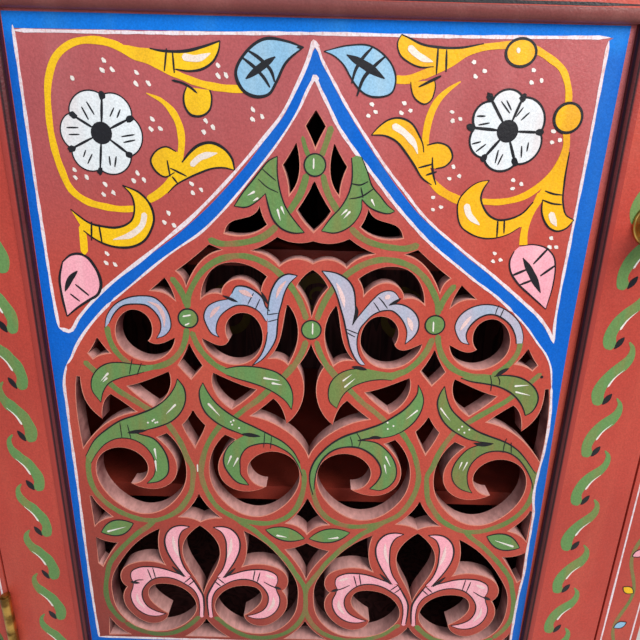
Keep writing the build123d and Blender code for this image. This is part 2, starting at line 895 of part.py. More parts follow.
stop_places = {
    "lower": (door_bottom + stop_end_distance, door_bottom + stop_end_distance + stop_length),
    "upper": (door_top - stop_end_distance - stop_length, door_top - stop_end_distance),
}
for stop_name, span in stop_places.items():
    save_board(
        "door_stop_" + stop_name,
        (door_half - stop_overlap, side_inner),
        (door_back + seat_gap, door_back + seat_gap + stop_thickness),
        span,
    )

save_board(
    "catch_keeper",
    (opening_half + keeper_side_gap, side_inner),
    (face_back, tongue_start - keeper_clearance),
    (knob_z - keeper_length / 2, knob_z + keeper_length / 2),
)

# ---- Hinges ---------------------------------------------------------------------------------------

knuckle_height = (hinge_height - 2 * hinge_knuckle_gap) / 3


def hinge_leaf(centre, side, knuckles):
    """Build a leaf: its plate in the gap, its knuckles round the pin and its screw holes.

    side is +1 for the door's leaf and -1 for the frame's; knuckles are 0 to 2 from below.
    """
    near = hinge_x + side * hinge_leaf_gap / 2
    far = near + side * hinge_leaf_thickness
    plate = tuple(sorted((near, far)))
    low = centre - hinge_height / 2
    bore = hinge_pin_diameter if side < 0 else hinge_pin_diameter + 2 * hinge_pin_clearance
    with BuildPart() as leaf:
        block(plate, (leaf_front, leaf_back), (low, low + hinge_height))
        for number in knuckles:
            foot = low + number * (knuckle_height + hinge_knuckle_gap)
            block(plate, (hinge_y, leaf_front), (foot, foot + knuckle_height))
            with Locations((hinge_x, hinge_y, foot + knuckle_height / 2)):
                Cylinder(hinge_barrel_diameter / 2, knuckle_height)
        with Locations((hinge_x, hinge_y, centre)):
            Cylinder(bore / 2, hinge_height, mode=Mode.SUBTRACT)
        for step in (-1, 0, 1):
            screw((near, leaf_middle, centre + step * screw_spacing), side, Mode.SUBTRACT)
    return leaf


for hinge_name, centre in hinge_places.items():
    save(hinge_leaf(centre, 1, [1]), "hinge_leaf_door_" + hinge_name)
    save(hinge_leaf(centre, -1, [0, 2]), "hinge_leaf_frame_" + hinge_name)
    with BuildPart() as hinge_pin:
        with Locations((hinge_x, hinge_y, centre)):
            Cylinder(hinge_pin_diameter / 2, hinge_height)
        for end in (-1, 1):
            head_middle = centre + end * (hinge_height + hinge_pin_head_height) / 2
            with Locations((hinge_x, hinge_y, head_middle)):
                Cylinder(hinge_pin_head / 2, hinge_pin_head_height)
    save(hinge_pin, "hinge_pin_" + hinge_name)

for leaf_name, side in (("door", 1), ("frame", -1)):
    with BuildPart() as hinge_screws:
        for centre in hinge_places.values():
            for step in (-1, 0, 1):
                near = hinge_x + side * hinge_leaf_gap / 2
                screw((near, leaf_middle, centre + step * screw_spacing), side)
    save(hinge_screws, "hinge_screws_" + leaf_name)

# ---- Knob and catch --------------------------------------------------------------------------------

knob_centre = (knob_x, knob_z)
knob_back = rosette_front - seat_gap
knob_front = knob_back - knob_length
spindle_head = knob_back - knob_socket_depth

with BuildPart() as knob_rosette:
    round_bar(knob_centre, (rosette_front, face_front), rosette_diameter)
    rim = knob_rosette.faces().sort_by(Axis.Y)[0].edges()
    fillet(rim, radius=rosette_thickness / 2)
    bore = spindle_diameter + 2 * spindle_clearance
    round_bar(knob_centre, (rosette_front, face_front), bore, Mode.SUBTRACT)
save(knob_rosette, "knob_rosette")

with BuildPart() as knob:
    foot = knob_foot_diameter / 2
    with BuildSketch(Plane(origin=(knob_x, 0, knob_z), x_dir=(1, 0, 0), z_dir=(0, 0, 1))):
        with BuildLine():
            Line((0, knob_back), (foot, knob_back))
            Line((foot, knob_back), (foot, knob_back - knob_foot_height))
            Spline(
                (foot, knob_back - knob_foot_height),
                (knob_neck_diameter / 2, knob_back - knob_neck_height),
                (knob_shoulder_diameter / 2, knob_back - knob_shoulder_height),
                (knob_crown_diameter / 2, knob_back - knob_crown_height),
                (knob_brow_diameter / 2, knob_back - knob_brow_height),
                (0, knob_front),
                tangents=((-1, -0.4), (-1, 0)),
            )
            Line((0, knob_front), (0, knob_back))
        make_face()
    revolve(axis=Axis((knob_x, 0, knob_z), (0, 1, 0)))
    round_bar(knob_centre, (spindle_head, knob_back), spindle_diameter, Mode.SUBTRACT)
save(knob, "knob")

nut_end = tongue_end + nut_thickness

with BuildPart() as knob_spindle:
    round_bar(knob_centre, (spindle_head, nut_end + spindle_end), spindle_diameter)
save(knob_spindle, "knob_spindle")

with BuildPart() as catch_tongue:
    with BuildSketch(Plane.XZ.offset(-tongue_end)):
        with Locations(knob_centre):
            Circle(tongue_hub_diameter / 2)
        with Locations((knob_x, knob_z + (tongue_reach - tongue_width / 2) / 2)):
            Rectangle(tongue_width, tongue_reach - tongue_width / 2)
        with Locations((knob_x, knob_z + tongue_reach - tongue_width / 2)):
            Circle(tongue_width / 2)
        with Locations(knob_centre):
            Circle(spindle_diameter / 2, mode=Mode.SUBTRACT)
    extrude(amount=tongue_thickness)
save(catch_tongue, "catch_tongue")

with BuildPart() as catch_nut:
    with BuildSketch(Plane.XZ.offset(-nut_end)):
        with Locations(knob_centre):
            RegularPolygon(nut_across_flats / 2, 6, major_radius=False)
            Circle(spindle_diameter / 2, mode=Mode.SUBTRACT)
    extrude(amount=nut_thickness)
save(catch_nut, "catch_nut")
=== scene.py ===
# %% [markdown]
# # A painted cabinet with a pierced door
# The cabinet's solids come from the CAD frame and are never changed here. What Blender adds
# is the painter's work: every band, leaf, flower and dot is a thin coat of paint lying on the
# wood, and every piece of wood and metal gets a material of its own.

import bpy
import bmesh
import numpy as np
from mathutils import Matrix, Vector


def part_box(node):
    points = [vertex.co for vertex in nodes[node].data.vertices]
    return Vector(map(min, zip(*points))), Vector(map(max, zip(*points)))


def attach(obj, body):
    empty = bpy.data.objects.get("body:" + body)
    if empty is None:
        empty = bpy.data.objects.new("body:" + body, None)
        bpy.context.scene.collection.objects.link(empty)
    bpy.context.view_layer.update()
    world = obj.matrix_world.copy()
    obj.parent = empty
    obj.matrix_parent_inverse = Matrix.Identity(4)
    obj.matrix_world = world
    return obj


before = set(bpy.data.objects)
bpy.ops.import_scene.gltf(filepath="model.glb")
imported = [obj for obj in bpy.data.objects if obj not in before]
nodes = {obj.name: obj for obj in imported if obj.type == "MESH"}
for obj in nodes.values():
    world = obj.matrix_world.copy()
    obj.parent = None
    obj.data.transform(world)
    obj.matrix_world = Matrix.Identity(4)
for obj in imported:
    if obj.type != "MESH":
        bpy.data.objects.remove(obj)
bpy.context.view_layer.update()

# %% [markdown]
# ## Camera
# The camera stands close to the door, a little above its middle, and looks down. A wide lens
# so near makes the uprights lean together towards the floor and shows the lower walls of
# the openings. Three directions - right, up and forward - make its turning matrix.

# %% Camera
pitch, roll = 0.29327, 0.027149
forward = np.array([0.0, np.cos(pitch), -np.sin(pitch)])
level = np.array([1.0, 0.0, 0.0])
upward = np.array([0.0, np.sin(pitch), np.cos(pitch)])
right = np.cos(roll) * level + np.sin(roll) * upward
top = np.cos(roll) * upward - np.sin(roll) * level
camera_data = bpy.data.cameras.new("camera")
camera_data.lens = 27.0
camera_data.sensor_width = 36.0
camera_data.clip_start = 0.01
camera = bpy.data.objects.new("camera", camera_data)
bpy.context.scene.collection.objects.link(camera)
turned = Matrix(np.column_stack([right, top, -forward]).tolist()).to_4x4()
camera_place = (0.00688, -0.5300, 0.6480)
camera.matrix_world = Matrix.Translation(camera_place) @ turned
bpy.context.scene.camera = camera
print("camera looks down by", round(np.degrees(pitch), 1), "degrees")

# %% [markdown]
# ## Light and floor
# Large, soft lights suit a painted surface: they show the colours evenly and leave the walls
# of the openings to do the shading. The main light hangs high, in front and to the right.

# %% Light and floor
def soft_light(name, place, aim, size, power, tint):
    """A square area light at place that faces aim."""
    data = bpy.data.lights.new(name, "AREA")
    data.size, data.energy, data.color = size, power, tint
    lamp = bpy.data.objects.new(name, data)
    bpy.context.scene.collection.objects.link(lamp)
    lamp.location = place
    lamp.rotation_euler = (Vector(aim) - Vector(place)).to_track_quat("-Z", "Y").to_euler()


soft_light("main_light", (0.92, -1.12, 1.72), (0.0, -0.1, 0.55), 1.0, 35.0, (1.0, 0.97, 0.94))
soft_light("side_light", (-0.5, -1.9, 1.6), (0.0, 0.0, 0.70), 1.7, 9.0, (0.76, 0.88, 1.0))

world = bpy.data.worlds.new("studio")
world.use_nodes = True
world.node_tree.nodes["Background"].inputs["Color"].default_value = (0.86, 0.89, 0.93, 1.0)
world.node_tree.nodes["Background"].inputs["Strength"].default_value = 0.34
bpy.context.scene.world = world
bpy.context.scene.view_settings.view_transform = "Standard"

floor_mesh = bpy.data.meshes.new("floor")
floor_reach = 4.0
corners = floor_reach * np.array([[-1, -1, 0], [1, -1, 0], [1, 1, 0], [-1, 1, 0]])
floor_mesh.from_pydata(corners.tolist(), [], [(0, 1, 2, 3)])
floor = bpy.data.objects.new("floor", floor_mesh)
bpy.context.scene.collection.objects.link(floor)
print("two lights, a pale sky and a floor")

# %% [markdown]
# ## Building materials from nodes
# A helper makes nodes and links in one line each, so that a material reads as a list of what
# it does. Colours are written as the eye knows them, in hexadecimal, and are turned into the
# linear values that the renderer counts with.

# %% Colour and node helpers
def colour(code):
    """Linear colour of an sRGB code: ((c + 0.055) / 1.055) ** 2.4 above the dark toe."""
    c = np.array([int(code[i:i + 2], 16) for i in (0, 2, 4)]) / 255
    return tuple(np.where(c > 0.04045, ((c + 0.055) / 1.055) ** 2.4, c / 12.92)) + (1.0,)


def node(tree, kind, links=(), **values):
    """Add a node; values set its sockets or settings, links join (socket, output) pairs."""
    made = tree.nodes.new(kind)
    for key, value in values.items():
        if hasattr(made, key):
            setattr(made, key, value)
        else:
            made.inputs[key.replace("_", " ")].default_value = value
    for socket, source in links:
        tree.links.new(source, made.inputs[socket])
    return made


def effect(name, inputs, outputs):
    """A node group with named inputs (name, kind, value) and outputs (name, kind)."""
    tree = bpy.data.node_groups.new(name, "ShaderNodeTree")
    for label, kind, value in inputs:
        socket = tree.interface.new_socket(label, in_out="INPUT", socket_type="NodeSocket" + kind)
        socket.default_value = value
    for label, kind in outputs:
        tree.interface.new_socket(label, in_out="OUTPUT", socket_type="NodeSocket" + kind)
    return tree, tree.nodes.new("NodeGroupInput"), tree.nodes.new("NodeGroupOutput")


def blend_colours(tree, share, first, second, mode="MIX"):
    """Mix two colours, each an output or a colour, by a share, an output or a number."""
    mixer = node(tree, "ShaderNodeMix", data_type="RGBA", blend_type=mode)
    for socket, value in ((mixer.inputs[0], share), (mixer.inputs[6], first), (mixer.inputs[7], second)):
        if isinstance(value, bpy.types.NodeSocket):
            tree.links.new(value, socket)
        else:
            socket.default_value = value
    return mixer.outputs[2]


def step(tree, source, low, high, first=0.0, second=1.0):
    """Turn values from low to high smoothly into values from first to second."""
    made = node(tree, "ShaderNodeMapRange", [("Value", source)], interpolation_type="SMOOTHSTEP")
    for socket, value in zip(("From Min", "From Max", "To Min", "To Max"), (low, high, first, second)):
        made.inputs[socket].default_value = value
    return made.outputs[0]


def noise(tree, scale, detail=3.0, stretch=(1, 1, 1)):
    """Noise on the object's own coordinates, stretched by three factors."""
    place = node(tree, "ShaderNodeTexCoord").outputs["Object"]
    mapping = node(tree, "ShaderNodeMapping", [("Vector", place)])
    mapping.inputs["Scale"].default_value = stretch
    made = node(tree, "ShaderNodeTexNoise", [("Vector", mapping.outputs[0])], Scale=scale, Detail=detail)
    return made.outputs[0]


print("helpers ready; brick red is", [round(v, 3) for v in colour("B44A3E")])

# %% [markdown]
# ## Effects shared by the paints
# Hand-brushed gloss paint isn't even: the brush leaves streaks where the coat is thinner,
# the colour drifts from one brushful to the next, and the dried film has a fine orange-peel
# skin. A picture of real paint could be wrapped round the wood, but it would stretch and show
# seams. Noise read at the piece's own coordinates fits every shape, so a node group makes the
# three from it, and each paint gives the group its own two colours.

# %% Brushed paint
def make_brushed():
    """Colour = paint mixed with its thin tone by streaks x wear + speckle x dryness.

    The whole is made lighter or darker by a slow drift times a fine grit.
    """
    tree, given, out = effect(
        "brushed_paint",
        [("Paint", "Color", (1, 1, 1, 1)), ("Thin", "Color", (1, 1, 1, 1)), ("Wear", "Float", 0.4),
         ("Dry", "Float", 0.0), ("Fineness", "Float", 34.0)],
        [("Colour", "Color"), ("Roughness", "Float"), ("Height", "Float")],
    )
    brush = noise(tree, 34.0, 4.0, (1.0, 1.0, 0.16))
    tree.links.new(given.outputs["Fineness"], brush.node.inputs["Scale"])
    streak = step(tree, brush, 0.42, 0.78)
    speckle = step(tree, noise(tree, 420.0, 3.0, (1.0, 1.0, 0.6)), 0.5, 0.66)
    dry = node(tree, "ShaderNodeMath", [(0, speckle), (1, given.outputs["Dry"])], operation="MULTIPLY")
    drift = step(tree, noise(tree, 7.0, 2.0), 0.3, 0.7, 0.93, 1.05)
    grit = step(tree, noise(tree, 780.0, 2.0), 0.25, 0.75, 0.9, 1.1)
    tone = node(tree, "ShaderNodeMath", [(0, drift), (1, grit)], operation="MULTIPLY")
    share = node(tree, "ShaderNodeMath", [(0, streak), (1, given.outputs["Wear"]), (2, dry.outputs[0])],
                 operation="MULTIPLY_ADD")
    worn = blend_colours(tree, share.outputs[0], given.outputs["Paint"], given.outputs["Thin"])
    shade = node(tree, "ShaderNodeHueSaturation", [("Color", worn), ("Value", tone.outputs[0])])
    peel = noise(tree, 520.0, 4.0)
    tree.links.new(shade.outputs[0], out.inputs["Colour"])
    tree.links.new(step(tree, noise(tree, 60.0, 3.0), 0.3, 0.7, 0.34, 0.52), out.inputs["Roughness"])
    tree.links.new(peel, out.inputs["Height"])
    return tree


brushed_paint = make_brushed()
print("group", brushed_paint.name)

# %% [markdown]
# ## The walls of the openings
# A fretwork board is sawn after its face was planed, and the saw leaves rough walls that take
# only thin, dusty paint. A second material on those faces would need the board cut in pieces.
# One group does it by where a point lies and how it faces, on the board as it is. It also
# paints light and shade on them: walls that face up are painted lighter, and all are painted
# darker with depth into the opening.

# %% Depth of the openings
def make_hollow(front, back):
    """Wall = how little the surface faces front or back.

    A wall's colour goes from painted shade to painted light with its upward tilt plus noise,
    times a painted shade factor that falls with the depth from front to back, times the saw's
    streaks.
    """
    tree, given, out = effect(
        "hollow_walls",
        [("Face", "Color", (1, 1, 1, 1)), ("Lit", "Color", (1, 1, 1, 1)), ("Dim", "Color", (1, 1, 1, 1))],
        [("Colour", "Color")],
    )
    where = node(tree, "ShaderNodeTexCoord")
    facing = node(tree, "ShaderNodeSeparateXYZ", [("Vector", where.outputs["Normal"])])
    place = node(tree, "ShaderNodeSeparateXYZ", [("Vector", where.outputs["Object"])])
    flatness = node(tree, "ShaderNodeMath", [(0, facing.outputs["Y"])], operation="ABSOLUTE")
    wall = step(tree, flatness.outputs[0], 0.25, 0.75, 1.0, 0.0)
    # Painted light: walls that face up take the lit colour, walls that face down the dim one.
    tilt = node(tree, "ShaderNodeMath", [(0, facing.outputs["Z"])], operation="MULTIPLY_ADD")
    tree.links.new(step(tree, noise(tree, 45.0, 4.0), 0.3, 0.7, -0.3, 0.3), tilt.inputs[2])
    tilt.inputs[1].default_value = 1.0
    walls = blend_colours(tree, step(tree, tilt.outputs[0], -0.5, 0.95), given.outputs["Dim"],
        given.outputs["Lit"])
    # Painted shade: the walls darken with depth into the opening.
    deep = step(tree, place.outputs["Y"], front, back, 1.0, 0.74)
    sawn = step(tree, noise(tree, 260.0, 5.0, (1.0, 0.45, 1.0)), 0.25, 0.75, 0.80, 1.12)
    depth_shade_and_saw_streaks = node(tree, "ShaderNodeMath", [(0, deep), (1, sawn)], operation="MULTIPLY")
    darkened = node(tree, "ShaderNodeHueSaturation", [("Color", walls), ("Value", depth_shade_and_saw_streaks.outputs[0])])
    tree.links.new(blend_colours(tree, wall, given.outputs["Face"], darkened.outputs[0]),
        out.inputs["Colour"])
    return tree


panel_low, panel_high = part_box("door_panel")
board_front, board_back = -0.1545, -0.1395
hollow_walls = make_hollow(board_front, board_back)
print("board from", board_front, "to", board_back, "m, and", panel_high[0] - panel_low[0], "m wide")

# %% [markdown]
# ## Wood grain
# The back, the blocks and the inside are softwood, bare or with one thin coat. Sawn along the
# trunk, its year rings show as long bands that run up the board. Noise stretched along Z, cut
# into repeating steps, draws such bands, and a finer noise stretched still more is the fibre.

# %% Wood grain
def make_grain():
    """Rings = the fraction of 11 x stretched noise; figure = rings x fibre, from light to dark."""
    tree, given, out = effect(
        "wood_grain",
        [("Light", "Color", (1, 1, 1, 1)), ("Dark", "Color", (1, 1, 1, 1))],
        [("Colour", "Color"), ("Roughness", "Float"), ("Height", "Float")],
    )
    bands = noise(tree, 9.0, 2.0, (3.0, 3.0, 0.35))
    rings = node(tree, "ShaderNodeMath", [(0, bands)], operation="MULTIPLY")
    rings.inputs[1].default_value = 11.0
    wave = node(tree, "ShaderNodeMath", [(0, rings.outputs[0])], operation="FRACT")
    fibre = noise(tree, 120.0, 3.0, (1.0, 1.0, 0.06))
    figure = node(tree, "ShaderNodeMath", [(0, wave.outputs[0]), (1, fibre)], operation="MULTIPLY")
    tone = blend_colours(tree, step(tree, figure.outputs[0], 0.05, 0.6), given.outputs["Light"],
        given.outputs["Dark"])
    tree.links.new(tone, out.inputs["Colour"])
    tree.links.new(step(tree, fibre, 0.3, 0.7, 0.55, 0.8), out.inputs["Roughness"])
    tree.links.new(fibre, out.inputs["Height"])
    return tree


wood_grain = make_grain()
print("group", wood_grain.name)

# %% [markdown]
# ## Patina
# Old brass and steel are bright where hands rub them and dull where they don't. One noise
# gives the dull patches, and both the colour and the roughness follow it, so that the patches
# look like tarnish and not like spots of paint.

# %% Patina
def make_patina():
    """Tarnish in patches: share = noise; colour and roughness both follow it."""
    tree, given, out = effect(
        "metal_patina",
        [("Bright", "Color", (1, 1, 1, 1)), ("Dull", "Color", (1, 1, 1, 1)), ("Polish", "Float", 0.3)],
        [("Colour", "Color"), ("Roughness", "Float"), ("Height", "Float")],
    )
    patches = noise(tree, 90.0, 4.0)
    share = step(tree, patches, 0.35, 0.7)
    tree.links.new(blend_colours(tree, share, given.outputs["Bright"], given.outputs["Dull"]),
        out.inputs["Colour"])
    rough = node(tree, "ShaderNodeMath", [(0, share), (2, given.outputs["Polish"])], operation="MULTIPLY_ADD")
    rough.inputs[1].default_value = 0.25
    tree.links.new(rough.outputs[0], out.inputs["Roughness"])
    tree.links.new(noise(tree, 400.0, 2.0), out.inputs["Height"])
    return tree


patina = make_patina()
print("group", patina.name)

# %% [markdown]
# ## The paints
# One function makes every brushed paint from its colour and the colour it shows where it is
# thin. A tint that grows along the height paints light and shade into some of them: a paler,
# cooler painted sheen towards the top and painted shade towards the low left corner. The
# board's paint then passes through the opening effect, which paints light and shade on the
# walls, and metal parts take the patina.

# %% Paint materials
def surface(name):
    """A new material, its node tree and its shader."""
    made = bpy.data.materials.new(name)
    made.use_nodes = True
    return made, made.node_tree, made.node_tree.nodes["Principled BSDF"]


def finish_surface(tree, shader, group, strength, distance):
    """Join an effect's colour, roughness and height to the shader, the height through a bump."""
    bump = node(tree, "ShaderNodeBump", [("Height", group.outputs["Height"])], Strength=strength,
        Distance=distance)
    tree.links.new(group.outputs["Colour"], shader.inputs["Base Color"])
    tree.links.new(group.outputs["Roughness"], shader.inputs["Roughness"])
    tree.links.new(bump.outputs[0], shader.inputs["Normal"])


def node_place(tree):
    """The X, Y and Z of a point on its own object."""
    where = node(tree, "ShaderNodeTexCoord")
    return node(tree, "ShaderNodeSeparateXYZ", [("Vector", where.outputs["Object"])])


def paint(name, code, thin, wear=0.4, dry=0.0, fineness=34.0, sheen=0.34):
    """Brushed gloss paint of one colour."""
    made, tree, shader = surface(name)
    group = node(tree, "ShaderNodeGroup", node_tree=brushed_paint)
    for socket, value in (
        ("Paint", colour(code)), ("Thin", colour(thin)), ("Wear", wear), ("Dry", dry), ("Fineness", fineness),
    ):
        group.inputs[socket].default_value = value
    shader.inputs["Specular IOR Level"].default_value = sheen
    finish_surface(tree, shader, group, 0.8, 0.0003)
    return made


def paint_light_by_height(made, start, end, tint, lean=0.0):
    """Paint light or shade into a finish: tint it where its height, plus lean times its place to the right,
    goes from start to end.
    """
    tree = made.node_tree
    shader = tree.nodes["Principled BSDF"]
    painted = shader.inputs["Base Color"].links[0].from_socket
    place = node_place(tree)
    along = node(tree, "ShaderNodeMath", [(0, place.outputs["X"]), (2, place.outputs["Z"])],
        operation="MULTIPLY_ADD")
    along.inputs[1].default_value = lean
    share = step(tree, along.outputs[0], start, end)
    tree.links.new(blend_colours(tree, share, painted, (*tint, 1.0), "MULTIPLY"), shader.inputs["Base Color"])
    return made


def board_paint(name, code, thin, lit, dim):
    """Brushed paint that gives way to paler or dimmer walls inside the openings.

    It has a painted cool sheen towards the top and painted shade towards the lower left corner; lit and dim
    are the walls' painted light and shade.
    """
    # Painted sheen: the board is paler and cooler towards the top. Painted shade: it is darker towards the
    # lower left.
    made = paint_light_by_height(paint(name, code, thin, wear=0.5), 0.54, 0.72, (0.88, 1.45, 2.45), -0.08)
    paint_light_by_height(made, 0.46, 0.06, (0.51, 0.60, 0.70), 0.5)
    tree = made.node_tree
    shader = tree.nodes["Principled BSDF"]
    painted = shader.inputs["Base Color"].links[0].from_socket
    walls = node(tree, "ShaderNodeGroup", [("Face", painted)], node_tree=hollow_walls)
    walls.inputs["Lit"].default_value = colour(lit)
    walls.inputs["Dim"].default_value = colour(dim)
    tree.links.new(walls.outputs[0], shader.inputs["Base Color"])
    return made


def quirk_paint(name, code, thin, edge, shadow):
    """Dark paint in the moulding's quirk, with two painted shadow lines down its grooves, and the frame's red
    beyond it.
    """
    made = paint(name, code, thin, wear=0.5)
    tree = made.node_tree
    shader = tree.nodes["Principled BSDF"]
    painted = shader.inputs["Base Color"].links[0].from_socket
    aside = node(tree, "ShaderNodeMath", [(0, node_place(tree).outputs["X"])],
        operation="ABSOLUTE").outputs[0]
    dark = painted
    # Painted shade: a dark line down each groove of the moulding.
    groove_middles = (0.2195, 0.2221)
    for middle in groove_middles:
        away = node(tree, "ShaderNodeMath", [(0, aside)], operation="SUBTRACT")
        away.inputs[1].default_value = middle
        near = node(tree, "ShaderNodeMath", [(0, away.outputs[0])], operation="ABSOLUTE").outputs[0]
        dark = blend_colours(tree, step(tree, near, 0.0003, 0.0007, 1.0, 0.0), dark, colour(shadow))
    tree.links.new(blend_colours(tree, step(tree, aside, 0.2228, 0.2236), dark, colour(edge)),
        shader.inputs["Base Color"])
    return made


def timber(name, light, dark):
    """Sawn or thinly painted softwood with its grain."""
    made, tree, shader = surface(name)
    group = node(tree, "ShaderNodeGroup", node_tree=wood_grain)
    group.inputs["Light"].default_value = colour(light)
    group.inputs["Dark"].default_value = colour(dark)
    finish_surface(tree, shader, group, 0.25, 0.0006)
    return made


def metal(name, bright, dull, roughness):
    """Metal with a patina: duller and rougher in patches."""
    made, tree, shader = surface(name)
    group = node(tree, "ShaderNodeGroup", node_tree=patina)
    for socket, value in (("Bright", colour(bright)), ("Dull", colour(dull)), ("Polish", roughness)):
        group.inputs[socket].default_value = value
    shader.inputs["Metallic"].default_value = 1.0
    finish_surface(tree, shader, group, 0.08, 0.0003)
    return made


finishes = {
    # board_red: painted sheen at the top, painted shade at the lower left, painted light and shade on its
    # walls
    "ground": board_paint("board_red", "BC4738", "CA5C48", "DCA29C", "683436"),
    "red": paint("frame_red", "B84236", "C85C48", 0.5),
    "maroon": paint("moulding_maroon", "4E1A20", "6E2A2C", 0.7),
    "quirk": quirk_paint("quirk_maroon", "5A1E24", "7A3030", "A33A32", "2A0C12"),
    "mauve": paint("moulding_mauve", "7E403E", "955A55", 0.8),
    "case": paint("case_red", "A83D33", "BF5745", 0.55),
    "inside": timber("inside_maroon", "6C3E3E", "3E2022"),
    "shelf": paint("shelf_red", "A03C2E", "7C2C24", 0.6),
    "bare": timber("bare_softwood", "C79A68", "8E6238"),
    "brass": metal("aged_brass", "D8AE5C", "7A5A2C", 0.28),
    "steel": metal("dull_steel", "A6A6A4", "5E5A56", 0.38),
    # The blue is tinted paler and cooler at the top of the panel: a painted sheen.
    "blue": paint_light_by_height(paint("arch_blue", "1063C8", "3A78BE", 0.4, sheen=0.08), 0.728, 0.742, (1.0, 1.42, 1.22)),
    "white": paint("line_white", "EBDFE6", "D9A29C", 0.3, dry=0.55),
    # The green is tinted darker towards the low left: painted shade.
    "green": paint_light_by_height(paint("stem_green", "6C8248", "A8684E", 0.7, dry=0.1, fineness=60.0, sheen=0.16), 0.30,
        0.06, (0.62, 0.68, 0.75), 0.5),
    "leaf": paint("leaf_green", "689055", "86844A", 0.75, dry=0.05, fineness=90.0, sheen=0.16),
    "pink": paint("petal_pink", "F6A8B7", "F8C4CA", 0.6, fineness=110.0),
    "lilac": paint("petal_lilac", "A9B0CC", "93B6D0", 0.75, fineness=60.0),
    "lavender": paint("petal_lavender", "BBB4C6", "9DB8CE", 0.75, fineness=60.0),
    "sky": paint("leaf_sky", "8DBDDE", "A8C6D8", 0.5, fineness=80.0),
    "yellow": paint("scroll_yellow", "F8C508", "E2A818", 0.6, fineness=60.0),
    "amber": paint("scroll_amber", "F4B60E", "E09A22", 0.8, fineness=60.0),
    "moss": paint("leaf_moss", "70864B", "8A7A48", 0.85, dry=0.06, fineness=90.0, sheen=0.16),
    "cream": paint("highlight_cream", "F0E2D6", "EBC4B0", 0.5, fineness=110.0),
    "petal": paint("flower_white", "E8EEF2", "E6D6D6", 0.6, fineness=70.0),
    "black": paint("outline_black", "16151C", "2A272C", 0.5),
    "blush": paint("highlight_blush", "EFCDCB", "E6C4BC", 0.6),
    "rose": paint("highlight_rose", "E2B6B2", "C8A8B4", 0.6),
    "light": paint("highlight_white", "EEE8E2", "E2CFC0", 0.4, dry=0.2),
    # The rim's pale line is partly a worn edge and partly a painted highlight.
    "rim": paint("rim_salmon", "D98A76", "C96A58", 0.5),
    "olive": paint("inside_olive", "8E7A2C", "5A4C1C", 0.7),
}
print(len(finishes), "finishes")

# %% [markdown]
# ## Floor finish
# The floor only has to catch the shadow, so it is pale and dull, with two near tones in large
# soft patches, because a floor of one even colour looks like no surface at all.

# %% Floor finish
finish_floor, floor_tree, floor_shader = surface("floor_pale")
floor_tone = blend_colours(floor_tree, step(floor_tree, noise(floor_tree, 3.0), 0.3, 0.7), colour("D8D6D2"),
    colour("D4D2CE"))
floor_tree.links.new(floor_tone, floor_shader.inputs["Base Color"])
floor_shader.inputs["Roughness"].default_value = 0.8
floor.data.materials.append(finish_floor)
print("floor has", finish_floor.name)

# %% [markdown]
# ## Dressing the wood and the metal
# The cabinet's solids already have their shapes, so each only needs its finish. The names of
# the pieces say what they are made of: a table goes from the start of a name to a finish, and
# the first start that fits is taken, so a longer start comes before a shorter one.

# %% Dress the CAD pieces
piece_finishes = {
    "door_panel": "ground", "panel_moulding_top": "mauve", "panel_moulding_bottom": "mauve",
        "panel_moulding": "quirk", "door_stile": "red", "door_rail": "red",
    "door_pegs": "red", "face_": "red", "side_board": "case", "top_slab": "case", "cornice": "maroon",
    "plinth_back": "bare", "plinth": "case", "corner_blocks": "bare", "shelf_cleat": "inside",
    "shelf": "shelf", "bottom_board": "inside", "top_board": "inside", "back_plank": "inside",
    "back_nails": "steel", "door_stop": "bare", "catch_keeper": "bare", "hinge_screws": "steel",
    "hinge": "brass", "knob_spindle": "steel", "knob": "brass", "catch": "steel",
}
for name, piece in nodes.items():
    start = next(key for key in piece_finishes if name.startswith(key))
    piece.data.materials.clear()
    piece.data.materials.append(finishes[piece_finishes[start]])
print("finishes given to", len(nodes), "pieces")

# %% [markdown]
# ## Laying paint
# A stroke or a filled shape is drawn flat, in millimetres from the drawing's foot, and laid on
# a face of the cabinet as a closed skin about a tenth of a millimetre thick. Later coats lie
# above earlier ones, as they do on the real door: bands first, then leaves, black lines and
# last the white touches.

# %% Sheets and coats
def sheet(origin, across, up):
    """A flat face to paint on; its outward direction is across x up."""
    across, up = np.array(across, float), np.array(up, float)
    return np.array(origin, float), across, up, np.cross(across, up)


drawing_foot = 0.189
door_face = sheet((0.0, board_front, drawing_foot), (1, 0, 0), (0, 0, 1))
coat_film = 0.11
sunk = 0.05
skin_step, skin_steps = 0.0007, 60
base_coat, line_coat, leaf_coat, ink_coat, touch_coat = 1, 2, 2.2, 3, 4
strokes = {}


def keep(body, finish, points, faces):
    """Store one closed skin under the body it rides and its finish."""
    strokes.setdefault((body, finish), []).append((points, faces))


def lay(points, height, face):
    """Points in mm to metres: origin + x times across + z times up + height times outward."""
    origin, across, up, out = face
    return origin + (points[:, :1] * across + points[:, 1:2] * up + height * out) / 1000


def rise_of(body, finish, coat):
    """Height of a skin in mm: coats times the film, and a hair more than the skin before it."""
    return coat * coat_film + skin_step * (len(strokes.get((body, finish), ())) % skin_steps)


print("a coat is", coat_film, "mm thick")

# %% [markdown]
# ## Curves from a few points
# A painter's stroke has no corners. A few points name the places it passes, and a cubic curve
# joins them: it leaves each point in the direction from the point before to the point after.
# Where two strokes meet in a tip, each is its own run, so that the tip stays sharp.

